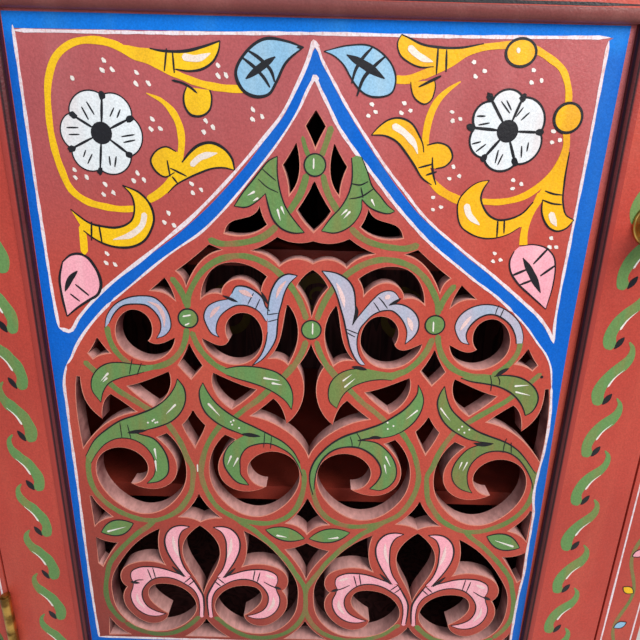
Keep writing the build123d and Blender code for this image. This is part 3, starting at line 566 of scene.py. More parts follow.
# %% Smooth curves
def smooth(points, spacing=2.0, closed=False):
    """A curve through the points: cubic pieces whose slopes follow the neighbours."""
    points = np.asarray(points, float)
    if closed:
        points = np.vstack([points[-3:], points, points[:3]])
    run = np.r_[0, np.cumsum(np.hypot(*np.diff(points, axis=0).T))]
    slope = np.gradient(points, run, axis=0)
    start, end = (run[3], run[-3]) if closed else (0, run[-1])
    count = max(2, int(np.ceil((end - start) / spacing)) + 1)
    at = np.linspace(start, end, count)[:-1 if closed else None]
    left = np.clip(np.searchsorted(run, at, side="right") - 1, 0, len(run) - 2)
    span = (run[left + 1] - run[left])[:, None]
    t = (at - run[left])[:, None] / span
    return (
        (1 + 2 * t) * (1 - t) ** 2 * points[left] + t * (1 - t) ** 2 * span * slope[left]
        + t ** 2 * (3 - 2 * t) * points[left + 1] + t ** 2 * (t - 1) * span * slope[left + 1]
    )


def outline(runs, spacing=2.0):
    """A closed outline of smooth runs that meet at sharp corners."""
    pieces = [smooth(run, spacing) if len(run) > 1 else np.array(run, float) for run in runs]
    return np.vstack(pieces)


print("a run of three points gives", len(smooth([(0, 0), (10, 8), (24, 10)])), "places")

# %% [markdown]
# ## Brush strokes and filled shapes
# A loaded brush starts round, thins out as it empties and leaves a low ridge of paint. So a
# stroke is a four-sided section, carried along its path, whose width follows the kind of end.
# A filled shape is its outline in front and behind, joined by a low wall. Both are closed
# solid skins.

# %% Strokes
def width_along(path, width, ends):
    """Half widths along a path.

    Round: a circle's arc at each end. Taper and tail: a round head, then a power of the part
    that is left. Pen and swell: a power of the sine over the whole path.
    """
    run = np.r_[0, np.cumsum(np.hypot(*np.diff(path, axis=0).T))]
    half = width / 2
    near = np.minimum(run, run[-1] - run) if ends == "round" else run
    round_part = np.sqrt(np.clip(1 - np.clip(1 - near / half, 0, 1) ** 2, 0.03, 1))
    if ends == "taper":
        round_part = round_part * (1.02 - run / run[-1]) ** 0.8
    if ends == "tail":
        round_part = round_part * np.clip((1.03 - run / run[-1]) / 0.4, 0, 1) ** 0.8
    if ends == "pen":
        round_part = np.sin(np.pi * np.clip(run / run[-1], 0.03, 0.97)) ** 0.3
    if ends == "swell":
        round_part = np.sin(np.pi * np.clip(run / run[-1], 0.02, 0.98)) ** 0.7
    return half * round_part


def ribbon(body, finish, path, width, coat, face=door_face, ends="round", closed=False):
    """A brush stroke: path + side x half width x the path's normal, at four sides in turn.

    Two slow sine waves along the path make the hand a little unsteady.
    """
    path = np.asarray(path, float)
    after, before = (np.roll(path, -1, 0), np.roll(path, 1, 0)) if closed else (
        np.vstack([path[1:], 2 * path[-1:] - path[-2:-1]]), np.vstack([2 * path[:1] - path[1:2], path[:-1]]))
    along = after - before
    along /= np.hypot(*along.T)[:, None]
    aside = np.column_stack([-along[:, 1], along[:, 0]])
    half = np.full(len(path), width / 2) if closed else width_along(path, width, ends)
    unsteady = 0.14 if finish == "white" else 0.06
    half = half * (1 + unsteady * np.sin(path @ (0.11, 0.09)) + unsteady * np.sin(path @ (-0.37, 0.29)))
    rise = rise_of(body, finish, coat)
    sides = [(1, -sunk), (0.94, rise), (-0.94, rise), (-1, -sunk)]
    rings = np.stack([lay(path + side * half[:, None] * aside, height, face) for side, height in sides], 1)
    count = len(path)
    here = np.arange(count if closed else count - 1)[:, None] * 4
    there = (here + 4) % (count * 4)
    k = np.arange(4)[None]
    quads = np.stack([here + k, here + (k + 1) % 4, there + (k + 1) % 4, there + k], 2).reshape(-1, 4)
    faces = quads.tolist()
    if not closed:
        faces += [[3, 2, 1, 0], [count * 4 - 4 + i for i in range(4)]]
    keep(body, finish, rings.reshape(-1, 3), faces)


least_gap = 0.05


def patch(body, finish, edge, coat, face=door_face):
    """A filled shape: the outline in front and behind, joined by a low wall."""
    edge = np.asarray(edge, float)
    edge = edge[np.hypot(*(edge - np.roll(edge, 1, 0)).T) > least_gap]
    count = len(edge)
    rise = rise_of(body, finish, coat)
    i = np.arange(count)
    walls = np.stack([i, (i + 1) % count, (i + 1) % count + count, i + count], 1)
    faces = [list(range(count)), list(range(2 * count - 1, count - 1, -1))] + walls.tolist()
    keep(body, finish, np.vstack([lay(edge, rise, face), lay(edge, -sunk, face)]), faces)


def oval(centre, wide, high, count):
    """Points round an oval: centre + (wide x cosine, high x sine) of equal angles."""
    turn = np.linspace(0, 2 * np.pi, count, endpoint=False)
    return np.array(centre) + np.column_stack([wide * np.cos(turn), high * np.sin(turn)])


def disc(body, finish, centre, radius, coat, face=door_face, count=20):
    """A round dot."""
    patch(body, finish, oval(centre, radius, radius, count), coat, face)


def line(body, finish, points, width, coat, face=door_face, ends="round", spacing=2.0):
    """A brush stroke through a few points."""
    ribbon(body, finish, smooth(points, spacing), width, coat, face, ends)


print("strokes, lines, discs and filled shapes")

# %% [markdown]
# ## The two halves of the board
# The right half of the fretwork is the left one's drawing turned over, but it was cut by hand
# and came out wider and lower. A plain mirror would lay the paint beside the bars, so what is
# painted on both halves is spread and dropped in the same way as the openings.

# %% Left and right
def right_of(points):
    """The right half's place of a left half's points.

    x grows by a share that fades out at 470 mm, and z drops by a share of x that fades at 300.
    """
    x, z = np.abs(np.asarray(points, float)[:, 0]), np.asarray(points, float)[:, 1]
    drop = 0.045 * np.maximum(0, 1 - z / 300) * np.clip((z - 4.5) / 12, -1, 1)
    return np.column_stack([x * (1 + 0.054 * np.maximum(0, 1 - z / 470)), z - x * drop])


def as_drawn(points):
    """The left half's points as they are."""
    return np.asarray(points, float)


halves = (as_drawn, right_of)
own = (as_drawn,)
print("a point 100 mm left lies", right_of([(-100, 100)]).round(1).tolist()[0], "on the right")

# %% [markdown]
# ## Border and pointed arch
# A blue band with a thin white line on each side frames the panel and crosses it as a pointed
# horseshoe arch. The painter followed the pierced work by hand, so the two halves differ a
# little. The blue goes on first and the white lines cover its edges.

# %% Arch
left_inner = [
    (-206, 300), (-201.5, 306), (-197, 315), (-187, 330), (-175, 344), (-162.7, 356.3), (-147, 369),
    (-130, 383),
    (-113, 396.3), (-104.7, 402.1), (-87.9, 413.5), (-74.2, 426.2), (-60.9, 440.5), (-45.5, 458.6),
    (-29.7, 478),
    (-17.6, 495.4), (-11.8, 505.2), (-7, 515.6), (-3.2, 522.8), (-1.8, 525.4),
]
left_outer = [
    (-208, 333), (-200, 330), (-191, 341.5), (-182.4, 351.4), (-170, 363.9), (-154.3, 377.2), (-137, 390.2),
    (-120, 403.6), (-111.7, 410.4), (-96.7, 422.6), (-83.7, 434.9), (-70.1, 448.4), (-54.1, 465.5),
    (-37.6, 484.2),
    (-24.7, 500.1), (-14, 519.6), (-8.6, 530.8), (-6.2, 536.8), (-4.6, 541.5), (-3.7, 545), (-3, 547.2),
]
left_blue = [
    (-200, 330), (-190.5, 341.5), (-181.6, 350.6), (-169.3, 363.2), (-153.6, 376.4), (-136.3, 389.4),
    (-118.7, 402.4),
    (-110, 408.6), (-95, 420.9), (-81.5, 432.9), (-68, 446.5), (-51.9, 463.7), (-36.5, 483.4), (-23.5, 499.3),
    (-14.2, 517.5), (-8, 530.8), (-4.4, 539.5), (-1.6, 543.8),
]
right_inner = [
    (205, 292), (200.8, 311), (195, 321.5), (187.5, 330.2), (175.6, 344.6), (163.1, 356.7), (147.3, 369.5),
    (128.7, 382),
    (111.7, 394.6), (103.4, 400.6), (87.6, 413.2), (74.1, 426.2), (60.6, 440.2), (45.1, 458.3), (28.7, 477.2),
    (15.7, 494.1), (8.9, 506.5), (3.7, 515.6), (0.9, 520.8), (-0.6, 524), (-1.8, 525.4),
]
right_outer = [
    (200.2, 331), (196, 339), (184.3, 353.3), (170.7, 364.6), (154.5, 377.4), (137.3, 390.4), (119.4, 403.1),
    (111, 409.5),
    (95.3, 421.2), (81.8, 433.2), (69.1, 447.5), (53.5, 465), (38.2, 484.7), (26.1, 501), (20, 509.8),
    (13, 521),
    (6, 532), (2.9, 537.3), (1.4, 541.3), (-0.4, 545.2), (-3, 547.2),
]
right_blue = [
    (200.2, 331), (195, 338.2), (183.5, 352.5), (170, 363.8), (153.5, 376.2), (136.3, 389.4), (118.3, 402),
    (110.2, 408.5),
    (94.5, 420.3), (80.5, 432), (67.3, 446), (52.2, 464), (36.9, 483.7), (25, 500.3), (14, 517), (5.4, 532),
    (1.8, 538.8),
    (-1.6, 543.8),
]
left_line = [(-210.4, 0), (-211.2, 30), (-211.6, 60), (-211.6, 95), (-210.8, 188), (-210.5, 260),
    (-209.5, 288), (-206, 300)]
right_line = [(210, 2), (209.4, 30), (209.3, 60), (209.8, 78), (210.7, 90), (210.7, 103), (210.1, 116),
    (209.8, 150), (209.4, 165), (206.9, 180),
              (207.2, 210), (208.4, 225), (208.9, 245), (207.8, 270), (205, 292)]
left_rise = [(-208, 333), (-209, 350), (-210.5, 420), (-211.5, 553)]
right_rise = [(200.2, 331), (198.6, 345), (198.2, 370), (199, 410), (200.5, 480), (201.5, 553)]
left_edge = [(-218.4, 561.5), (-218.4, 0)]
right_edge = [(215, 561.5), (213, 400), (212.5, 330), (213, 292), (213.9, 245), (215.1, 200), (216, 140),
    (217.1, 70), (218.2, 0)]

patch("door", "blue", outline([left_inner, right_inner[::-1], right_blue, left_blue[::-1], left_outer[:1]],
    4), 1)
for side, inner, outer, rise, edge, widths in (
    (left_line, left_inner, left_outer, left_rise, left_edge, (2.2, 2.1, 1.8, 2.8)),
    (right_line, right_inner, right_outer, right_rise, right_edge, (2.2, 1.5, 2.4, 2.4)),
):
    patch("door", "blue", outline([side, inner[:3], outer[:1], rise, edge], 6), 1.15)
    for run, width in zip((side, inner[:6], inner[5:], outer), widths):
        line("door", "white", run, width, 2, spacing=4)
    line("door", "white", rise, 2.2, 2, spacing=4)
patch("door", "white", [(-5.3, 544.7), (-4.4, 547.6), (-3.1, 549), (-0.9, 547.9), (1.4, 545.4), (0.2, 541.5),
    (-1.8, 544.3), (-3.6, 541.2)], 2.2)
patch("door", "white", [(-3.9, 524), (-2.8, 526.8), (-0.2, 526.7), (1.6, 524.7), (0.4, 520.5), (-1.8, 522.8),
    (-3.4, 520)], 2.2)
patch("door", "blue", [(-218.4, 551), (215, 555), (215, 562.5), (-218.4, 561.5)], 1.2)
patch("door", "blue", [(-218.4, -9), (218.2, -9), (218.2, 0), (-218.4, 0)], 1.2)
line("door", "white", [(-212, 549.6), (-100, 550.6), (0, 552.6), (90, 553), (202, 555)], 2.3, 2.1, spacing=8)
line("door", "white", [(-210, 0.5), (0, -0.3), (210, 0.8)], 2.3, 2.1, spacing=8)
print("border and arch laid")

# %% [markdown]
# ## Green stems on the pierced work
# Every bar between the openings carries a green stem. The stems of one half, mirrored, follow
# the bars of the other, which were cut a little wider.

# %% Stems
stem_lines = [
    [(-143, 145), (-150, 138), (-160, 130), (-170, 120), (-178, 111), (-185, 102), (-190, 94), (-194, 80),
     (-197, 65), (-197.5, 55), (-195, 40), (-190, 30), (-182, 20)],
    [(-197, 212), (-199, 200), (-197, 180), (-190, 167), (-180, 157), (-168, 150), (-155, 145.5), (-143, 145),
     (-130, 150), (-120, 157), (-112, 168), (-107, 178), (-105, 190), (-104.5, 203), (-108.5, 212),
     (-112.5, 225), (-117, 235), (-123, 245.5), (-126, 250)],
    [(-70, 152), (-60, 144), (-50, 137), (-42, 129), (-32, 119), (-25, 110), (-18, 101), (-12, 90),
     (-6, 80), (-1, 70), (0, 57), (0, 45), (-3, 33), (-9, 22), (-18, 13), (-30, 7), (-45, 4.5), (-58, 6),
     (-70, 12), (-80.5, 20.5), (-88.4, 28.4), (-91.5, 30)],
    [(-77, 248), (-80, 244), (-86, 235), (-91, 225), (-95, 212), (-97, 200), (-95, 185), (-90, 172),
     (-82, 160), (-72, 153), (-62, 148),
     (-50, 145.5), (-38, 145), (-27, 148), (-18, 153.5), (-11, 162), (-6.5, 173), (-4, 185), (-3.5, 195),
     (-5, 205)],
    [(-128, 251.5), (-134, 256), (-145, 264), (-155, 271), (-165, 278), (-174, 287)],
    [(-180, 292), (-191, 304)],
    [(-67, 253), (-55, 264), (-45, 272), (-34, 283), (-30, 287)],
    [(-25, 292), (-14, 306)],
    [(-152, 299), (-142, 299.5), (-130, 300.5), (-118, 305.5), (-109, 315), (-104, 327), (-102.5, 336)],
    [(-99, 333), (-94, 320), (-86, 309), (-78, 302), (-66, 297)],
    [(-101.5, 352), (-100, 362), (-95, 373), (-88, 383), (-78, 391), (-66, 395.5), (-55, 396.5), (-44, 394),
     (-34, 389), (-25, 382), (-18, 374), (-12, 365), (-7, 354), (-4, 345)],
    [(-101.5, 355), (-104, 363), (-108, 371), (-113, 378)],
    [(-4, 328), (-7, 318), (-12, 308), (-17, 300), (-25, 291)],
    [(-6, 460), (-8, 452), (-11, 444), (-16, 436), (-20, 430)],
    [(-82, 409), (-74, 406), (-62, 406), (-50, 408), (-39, 412), (-31, 418), (-28, 421)],
]
stem_ends = [
    [(-182, 20), (-172, 13), (-160, 8), (-148, 6), (-135, 8), (-122, 15), (-113, 23), (-106, 31)],
    [(191.4, 12), (181, 6), (168.5, 4.2), (155.9, 4.2), (142.2, 5.9), (128.4, 10.2), (118.8, 18.1),
     (111.3, 26.5)],
    [(-168.5, 336), (-167.5, 325), (-164, 315), (-158, 307), (-150, 300)],
    [(172.6, 334), (172.4, 324.3), (170.6, 318.4), (166.6, 311.8), (160.8, 306), (153, 300.8)],
]
stem_width, stud_radius = 5, 8
for half in halves:
    for run in stem_lines:
        ribbon("door", "green", half(smooth(run)), stem_width, base_coat)
for run in stem_ends:
    line("door", "green", run, stem_width, base_coat)
line("door", "light", [(-100, 207), (-100, 199)], 1, 4, spacing=1)
line("door", "green", [(-9.7, 486), (-7.6, 478.6), (-4.4, 471)], 3.6, 1)
line("door", "green", [(11.6, 493.5), (8.8, 484.3), (4.4, 471.5)], 4.6, 1)
disc("door", "black", (195.3, 300.7), 1.3, 3, count=10)
for middle in [(-101, 344), (101, 344), (0, 337), (0, 466)]:
    disc("door", "leaf", middle, stud_radius, leaf_coat)
    ribbon("door", "black", oval(middle, stud_radius, stud_radius, 28), 1.2, ink_coat, closed=True)
for run in ([(-105.5, 345.5), (-98.5, 347)], [(-104, 338), (-100, 340)], [(1, 343), (1, 333)],
    [(-1, 471), (-1, 463)],
            [(99.5, 347), (100, 338)]):
    line("door", "light", run, 1.3, 4, spacing=1)
print(2 * len(stem_lines) + len(stem_ends), "stems")

# %% [markdown]
# ## Leaves on the pierced work
# Each leaf is filled with one colour, given a thin black outline, two or three black veins
# where it leaves its stem, and white touches where a wet leaf would catch the light.

# %% Leaf maker
def leaf(finish, runs, veins=(), touches=(), wedges=(), dabs=(), places=own, pen=1.2, touch="light",
         broad=2.1, vein=0.9, bare=()):
    """A leaf: its fill, pen strokes along its edges, veins, black wedges, light touches and dabs.

    The pen skips the gap from one run to the next where the leaf grows out of its stem, and
    the runs whose numbers are in bare. Its width changes a little from run to run, as a sine.
    """
    touch_ends = "tail" if touch == "cream" else "taper" if broad < 3 else "swell"
    for half in places:
        patch("door", finish, half(outline(runs)), leaf_coat)
        for k, run in enumerate(runs):
            if len(run) > 1 and k not in bare:
                pressure = 1 + 0.25 * np.sin(2.4 * k + run[0][0])
                ribbon("door", "black", half(smooth(run)), pen * pressure, ink_coat, ends="pen")
        for place in dabs:
            disc("door", touch, half([place])[0], 0.85, touch_coat, count=8)
        for run in veins:
            ribbon("door", "black", half(smooth(run)), vein, 3.4, ends="pen")
        for *run, width in wedges:
            ribbon("door", "black", half(smooth(run, 1)), width, 3.6, ends="swell")
        for run in touches:
            ribbon("door", touch, half(smooth(run, 1)), broad, touch_coat, ends=touch_ends)


def bud(start, end, thick, touch):
    """A pointed oval on each half: two parabolas, thick / 2 high, over the line start to end."""
    t = np.linspace(0, 1, 14)[:, None]
    start, end = np.array(start, float), np.array(end, float)
    along = end - start
    aside = np.array([-along[1], along[0]]) / np.hypot(*along)
    arch = 4 * t * (1 - t) * thick / 2
    upper, lower = start + t * along + arch * aside, start + t * along - arch * aside
    runs = [upper.tolist(), lower[::-1].tolist()]
    leaf("leaf", runs, touches=[touch], places=halves)


bud((-194.6, 130), (-163.4, 141), 17, [(-189, 131), (-171, 137)])
bud((-39, 138), (-2, 129), 15, [(-29, 132), (-19, 130)])
print("four buds laid")

# %% [markdown]
# ## Green leaves, left and right
# The leaves follow the curled ends of the fretwork. Each is two or three runs that meet in
# its tips. The painter didn't copy one half from the other: the right leaves are fuller and
# their green is duller, so each half has its own runs.

# %% Left green leaves
leaf("leaf", [
    [(-200, 212), (-190, 229), (-178, 240), (-165, 249), (-150, 255), (-134.6, 262.4), (-121.6, 273.5),
     (-115, 284), (-113, 290)],
    [(-113, 290), (-108, 282), (-107, 272), (-111, 260), (-120, 250), (-132, 244), (-145, 240)],
    [(-155, 238), (-150, 236), (-138, 232), (-130, 222), (-126, 208), (-128, 195), (-135, 188.5),
     (-147, 185.5)],
    [(-147, 185.5), (-140.5, 193), (-138, 205), (-141, 217), (-148, 226), (-158, 231), (-170, 231),
     (-180, 226),
     (-190, 215), (-196, 205)],
], veins=[[(-166, 247), (-165.5, 232)], [(-159.5, 245), (-157.5, 231)]],
    touches=[[(-115.7, 266.2), (-125, 256.3)], [(-137.4, 222.3), (-136.4, 211.1)],
        [(-137.6, 210), (-137.3, 198.6)]],
    wedges=[((-160, 237), (-143, 240), 4)],
    dabs=[(-135.8, 250.7), (-141.3, 247.6), (-134.8, 247.8), (-137.2, 249.5), (-133, 248.3)])
leaf("leaf", [
    [(-91.5, 287), (-87.7, 278.5), (-81.5, 269), (-72, 260), (-60, 252), (-48, 246), (-35, 239), (-23, 232),
     (-14, 223), (-7.7, 211)],
    [(-5.4, 198), (-9, 208), (-15, 218.5), (-25, 226), (-35, 230), (-46, 229), (-55, 225), (-61, 215),
     (-61.5, 205), (-61, 197), (-57.5, 192), (-54, 186.5)],
    [(-54, 186.5), (-63, 188.5), (-72, 198.5), (-76, 208), (-75.6, 216.6), (-72.2, 224.8), (-66.2, 231.6)],
    [(-57, 237.5), (-60, 239), (-72, 244), (-83, 251), (-91, 260), (-94.6, 271), (-94.6, 280), (-91.5, 287)],
], veins=[[(-39, 241), (-40, 226)], [(-33, 238), (-34, 225)]],
    touches=[[(-88, 268), (-78, 256)], [(-69, 217), (-73, 207)], [(-63, 215), (-68, 205)]],
    wedges=[((-59, 239), (-43, 237), 4)],
    dabs=[(-68.6, 250.6), (-66.2, 252), (-67.5, 247.9), (-61.5, 244.8)])
leaf("leaf", [
    [(-139, 301.5), (-150, 302.5), (-160, 303.5), (-172, 302), (-180, 297), (-186, 288), (-187, 278),
     (-180.5, 266)],
    [(-180.5, 266), (-178, 275), (-172, 284), (-160, 290), (-149, 293), (-141, 295.5)],
    [(-133.5, 297.6), (-132.5, 302.4)],
], bare=(2,), veins=[[(-150, 307), (-153.5, 293)], [(-142.5, 303.5), (-147, 292.5)]],
    touches=[[(-171.2, 293.9), (-178.5, 286)], [(-172.6, 289.5), (-176.9, 285.1)]])
leaf("leaf", [
    [(-72, 300.5), (-60, 303), (-49, 303), (-38.5, 301.5), (-28, 298), (-20, 291), (-15.4, 281.5),
     (-14.6, 272), (-15.7, 264)],
    [(-15.7, 264), (-20, 271), (-28, 278), (-38.5, 284), (-51, 288.5), (-63, 292), (-71, 295)],
    [(-76.5, 298.6), (-78.5, 303.4)],
], bare=(2,), touches=[[(-40, 293), (-26, 291)], [(-33, 288.5), (-24, 287)]])
leaf("leaf", [
    [(-28, 471.5), (-28, 459), (-26, 447), (-21.5, 434.6), (-14, 424), (-7, 416)],
    [(-7, 416), (-15, 415.4), (-24.6, 418.5), (-31, 425), (-34.6, 434.6), (-37, 444.6)],
    [(-37, 444.6), (-43, 439), (-52, 434), (-61, 434.6)],
    [(-61, 434.6), (-54, 445), (-46, 454.6), (-40, 462), (-34, 468.5), (-28, 471.5)],
], veins=[[(-39, 462.1), (-34.2, 458), (-29, 454.1)], [(-42.4, 455), (-35.9, 449.3), (-27.3, 445.4)]],
    touches=[[(-44.9, 445.9), (-50.8, 442.6)], [(-42.3, 441.2), (-46.7, 438.6)],
        [(-28, 433.5), (-25.6, 424.4)],
             [(-25.2, 435.5), (-22.6, 429.4)]])
print("left green leaves laid")

# %% Right green leaves
leaf("moss", [
    [(114.4, 289.7), (116.2, 283.2), (118.8, 275.4), (123, 267.6), (129.2, 261.2), (137.2, 254.4),
     (146.7, 248.1),
     (157.5, 243.5), (168.3, 239.7), (177.7, 235.3), (185.9, 229.4), (192.9, 222), (199.4, 213.6),
     (204.5, 206.9)],
    [(205, 190.2), (202.6, 198.1), (198.2, 206.7), (192.5, 215.1), (185.4, 222.6), (177.3, 227.3),
     (168.3, 228.7),
     (159.6, 227.4), (151.3, 222.4), (146.1, 215.4), (143.6, 206.7), (144.1, 198), (146.9, 189.3),
     (150.1, 184.4)],
    [(150.1, 184.4), (138.6, 188.7), (131.8, 195.9), (129.4, 204.5), (130.7, 213.2), (135, 221.9),
     (141.5, 229.7),
     (149.9, 233.7), (158, 234.1)],
    [(162.9, 235.9), (149.4, 237.5)],
    [(149.4, 237.8), (140.4, 239.7), (132.6, 243.6), (123.1, 249.9), (115.8, 257.8), (111.2, 267.3),
     (109.8, 275.2),
     (111.2, 282.7), (114.4, 289.7)],
], veins=[[(173.9, 241.5), (172.6, 234.9), (172.5, 227.3)], [(178.4, 237.5), (179.9, 226.7)]],
    touches=[[(112.7, 269.7), (117.4, 263.5), (122.7, 257.2)], [(137.3, 216.9), (135.2, 209)],
        [(142.2, 217), (138.8, 207.4)]],
    wedges=[((145.5, 236), (152.7, 234.6), (162.6, 235.9), 3.6)],
    dabs=[(130.8, 249), (140, 249.2), (133.4, 252.1), (136, 246.2)], broad=1.7)
leaf("leaf", [
    [(92, 290.3), (95.3, 284.2), (97.6, 276.7), (97, 268.2), (93.9, 259.5), (88.3, 251.5), (81, 245.2),
     (71.9, 240.5),
     (62.6, 238.4)],
    [(62.6, 238.1), (54.7, 238), (43.1, 235.3)],
    [(43.1, 235.3), (51.7, 235.2), (59.7, 233.5), (68.9, 226.6), (75.4, 218.1), (79.3, 207.2), (79, 197.8),
     (73.8, 189.2), (65.9, 184.7), (56.4, 186.1)],
    [(56.4, 186.1), (62.5, 193.5), (65.8, 203), (64.3, 210.4), (60, 217.6), (52.3, 224.5), (44.2, 228.2),
     (33.1, 228.6), (22.6, 225.3), (14, 217.6), (8.4, 206), (6.2, 194), (5.6, 183.8)],
    [(4.8, 178), (1.6, 191.6), (1.6, 201), (4.9, 212.2), (12.3, 223.4), (21.5, 232.7), (31.1, 239.1),
     (41.9, 243.6),
     (52.6, 247.8), (63.3, 252.7), (72.2, 258.9), (81, 266), (88, 274.7), (91.9, 282.8), (92, 290.3)],
], veins=[[(36.1, 239.4), (37.9, 234.1), (38.6, 228.2)], [(41.5, 243.6), (45.4, 236.1), (44.2, 228.9)]],
    touches=[[(93.6, 266.9), (83.9, 257.5)], [(68.2, 212), (70.5, 202.2)], [(68.5, 220.6), (73.7, 209.8)]],
    wedges=[((50.9, 236.8), (57.5, 239.2), (64.5, 238.8), 2.8)], pen=1.4,
    dabs=[(68.2, 253.9), (68.7, 247.8), (73.5, 250.8)], broad=1.7)
leaf("moss", [
    [(127.5, 297.8), (135, 295.2), (146.9, 293.4), (155.6, 292), (164.5, 289.1), (172.2, 284.7),
     (178.7, 278.8), (183.3, 272.3),
     (186.9, 264.4)],
    [(186.9, 264.4), (191.2, 267.3), (194.5, 273.3), (195.4, 280.9), (192.4, 288.3), (186.3, 294.6),
     (178.6, 299),
     (169.9, 301), (161.4, 301.2), (155.2, 300.1)],
    [(147.4, 300.3), (138, 300.2)],
], veins=[[(151.6, 301.2), (153.5, 295.1), (154.1, 286.7)], [(158, 300.6), (160.4, 296.1), (160.5, 292.3)]],
    touches=[[(173.3, 291.7), (185.2, 293)], [(174.8, 286.5), (188, 283.5)]],
    wedges=[((156.2, 300.1), (161, 304.2), (166.4, 307.7), 3.6)], bare=(2,), broad=1.7)
leaf("moss", [
    [(23.5, 266.3), (17.7, 271.6), (15.7, 281.8), (17.7, 290.7), (23.4, 297.9), (31.5, 302.2), (40.5, 303.8),
     (46.5, 304)],
    [(58.7, 301.7), (68, 301), (78.6, 303.6), (80.4, 299.9)],
    [(69, 293.9), (63.7, 294.4), (54.6, 293.8), (44.1, 291), (35.2, 286.2), (28.7, 279.4), (25.1, 271.5),
     (23.5, 266.3)],
], touches=[[(27.4, 292), (35, 298.6)], [(29, 286.2), (38, 294.8)]],
    wedges=[((34.7, 305.3), (40.4, 304.5), (47.4, 303), 3.4)], bare=(1,), broad=1.7)
leaf("leaf", [
    [(30.6, 473.4), (34.5, 472.6)],
    [(34.5, 472.6), (39.3, 462.2), (43.8, 451.4), (49.7, 445.2), (56.5, 437.7), (61.6, 434.1)],
    [(61.6, 433.8), (58, 432.2), (50.5, 433), (42, 436.7), (36.1, 442.3)],
    [(36.1, 442), (36.3, 435.2), (32.8, 427), (26.1, 420.2), (16.2, 416.3), (6.4, 417.5)],
    [(6.3, 418), (12.8, 427.3), (20.8, 436.4), (26, 446.2), (27.9, 454.1), (28, 463.5), (27.1, 471.8)],
], veins=[[(28, 453.4), (34.5, 452.6), (40.3, 455.3)], [(26.5, 442.2), (35, 443.9), (44.8, 450.2)],
    [(35, 450.9), (37, 443.3)]],
    touches=[[(25.5, 434.4), (20.7, 429.8)], [(27.9, 433.2), (22.8, 427.4)], [(43.3, 442.6), (46.3, 437.1)]],
        bare=(0,), vein=1.2)
print("right green leaves laid")

# %% [markdown]
# ## Pink and lilac petals
# The lowest row holds two pairs of pink petals, each a stem and a curled foot, and these do
# repeat: one petal is drawn and laid in four places, as it is, turned over within its pair,
# and both again on the right half. The lilac ones above are single. A broad pale touch down
# the middle of each makes the flat petal look round.

# %% Pink petals
pink_stem = [
    [(-110.5, 139), (-118.5, 140), (-126, 138), (-132, 132), (-135, 123), (-134.6, 114), (-131, 103),
     (-124.6, 91), (-117.7, 80)],
    [(-112, 81), (-117, 89), (-121, 101.5), (-122, 114), (-121.5, 125), (-117.7, 134), (-110.5, 139)],
]
pink_volute = [
    [(-112, 79), (-106, 68), (-101.5, 57), (-101, 46), (-102, 32)],
    [(-102.4, 30.4), (-104, 29.5), (-105.6, 30.4)],
    [(-106, 32), (-105.4, 46), (-107, 57), (-111, 65), (-118, 71), (-128, 77), (-137, 79), (-148, 77),
     (-157, 69), (-161.5, 60), (-161.5, 51), (-157, 41.5), (-149, 36), (-140, 33)],
    [(-140, 33), (-148, 30), (-158.5, 31), (-167, 37), (-172, 46), (-173, 57), (-170, 66), (-169, 71.5)],
    [(-169, 71.5), (-171, 77), (-170, 84.6), (-163, 89.5), (-151, 91), (-138.5, 89), (-128, 85),
     (-118.5, 81)],
]


def inward(points):
    """A left half's petal mirrored about the middle of its pair."""
    points = np.asarray(points, float)
    return np.column_stack([-198.6 - points[:, 0], points[:, 1]])


def inward_right(points):
    """The same, on the right half."""
    return right_of(inward(points))


pairs = [as_drawn, right_of, inward, inward_right]
leaf("pink", pink_stem, touches=[[(-127, 128), (-126, 115), (-122.5, 104)]], places=pairs, broad=3.4,
    touch="blush", pen=1.5)
pink_bands = [[(-154, 88), (-151, 76)], [(-149, 90), (-147, 78)], [(-119, 73), (-112, 80)],
    [(-115, 70), (-109, 76)]]
pink_blush = [(-167, 58), (-166.5, 49), (-161, 40)]
leaf("pink", pink_volute, veins=pink_bands + [[(-170, 72), (-165, 74.5), (-159, 75)]], touches=[pink_blush],
     wedges=[((-130, 92), (-119, 80), 2.6), ((-172, 72), (-163, 71), 3)],
     places=pairs[:1], broad=3, touch="blush", pen=1.5, vein=1.2, bare=(1,))
leaf("pink", pink_volute, veins=pink_bands + [[(-157.5, 76.5), (-165, 71.6), (-173, 68.4)]],
     touches=[pink_blush, [(-159, 85), (-168.5, 81)]],
     wedges=[((-130, 92), (-119, 80), 2.6), ((-174.5, 67.8), (-167, 70.8), 3)],
     places=pairs[1:], broad=3.4, touch="blush", pen=1.5, vein=1.2, bare=(1,))
print("pink petals laid")

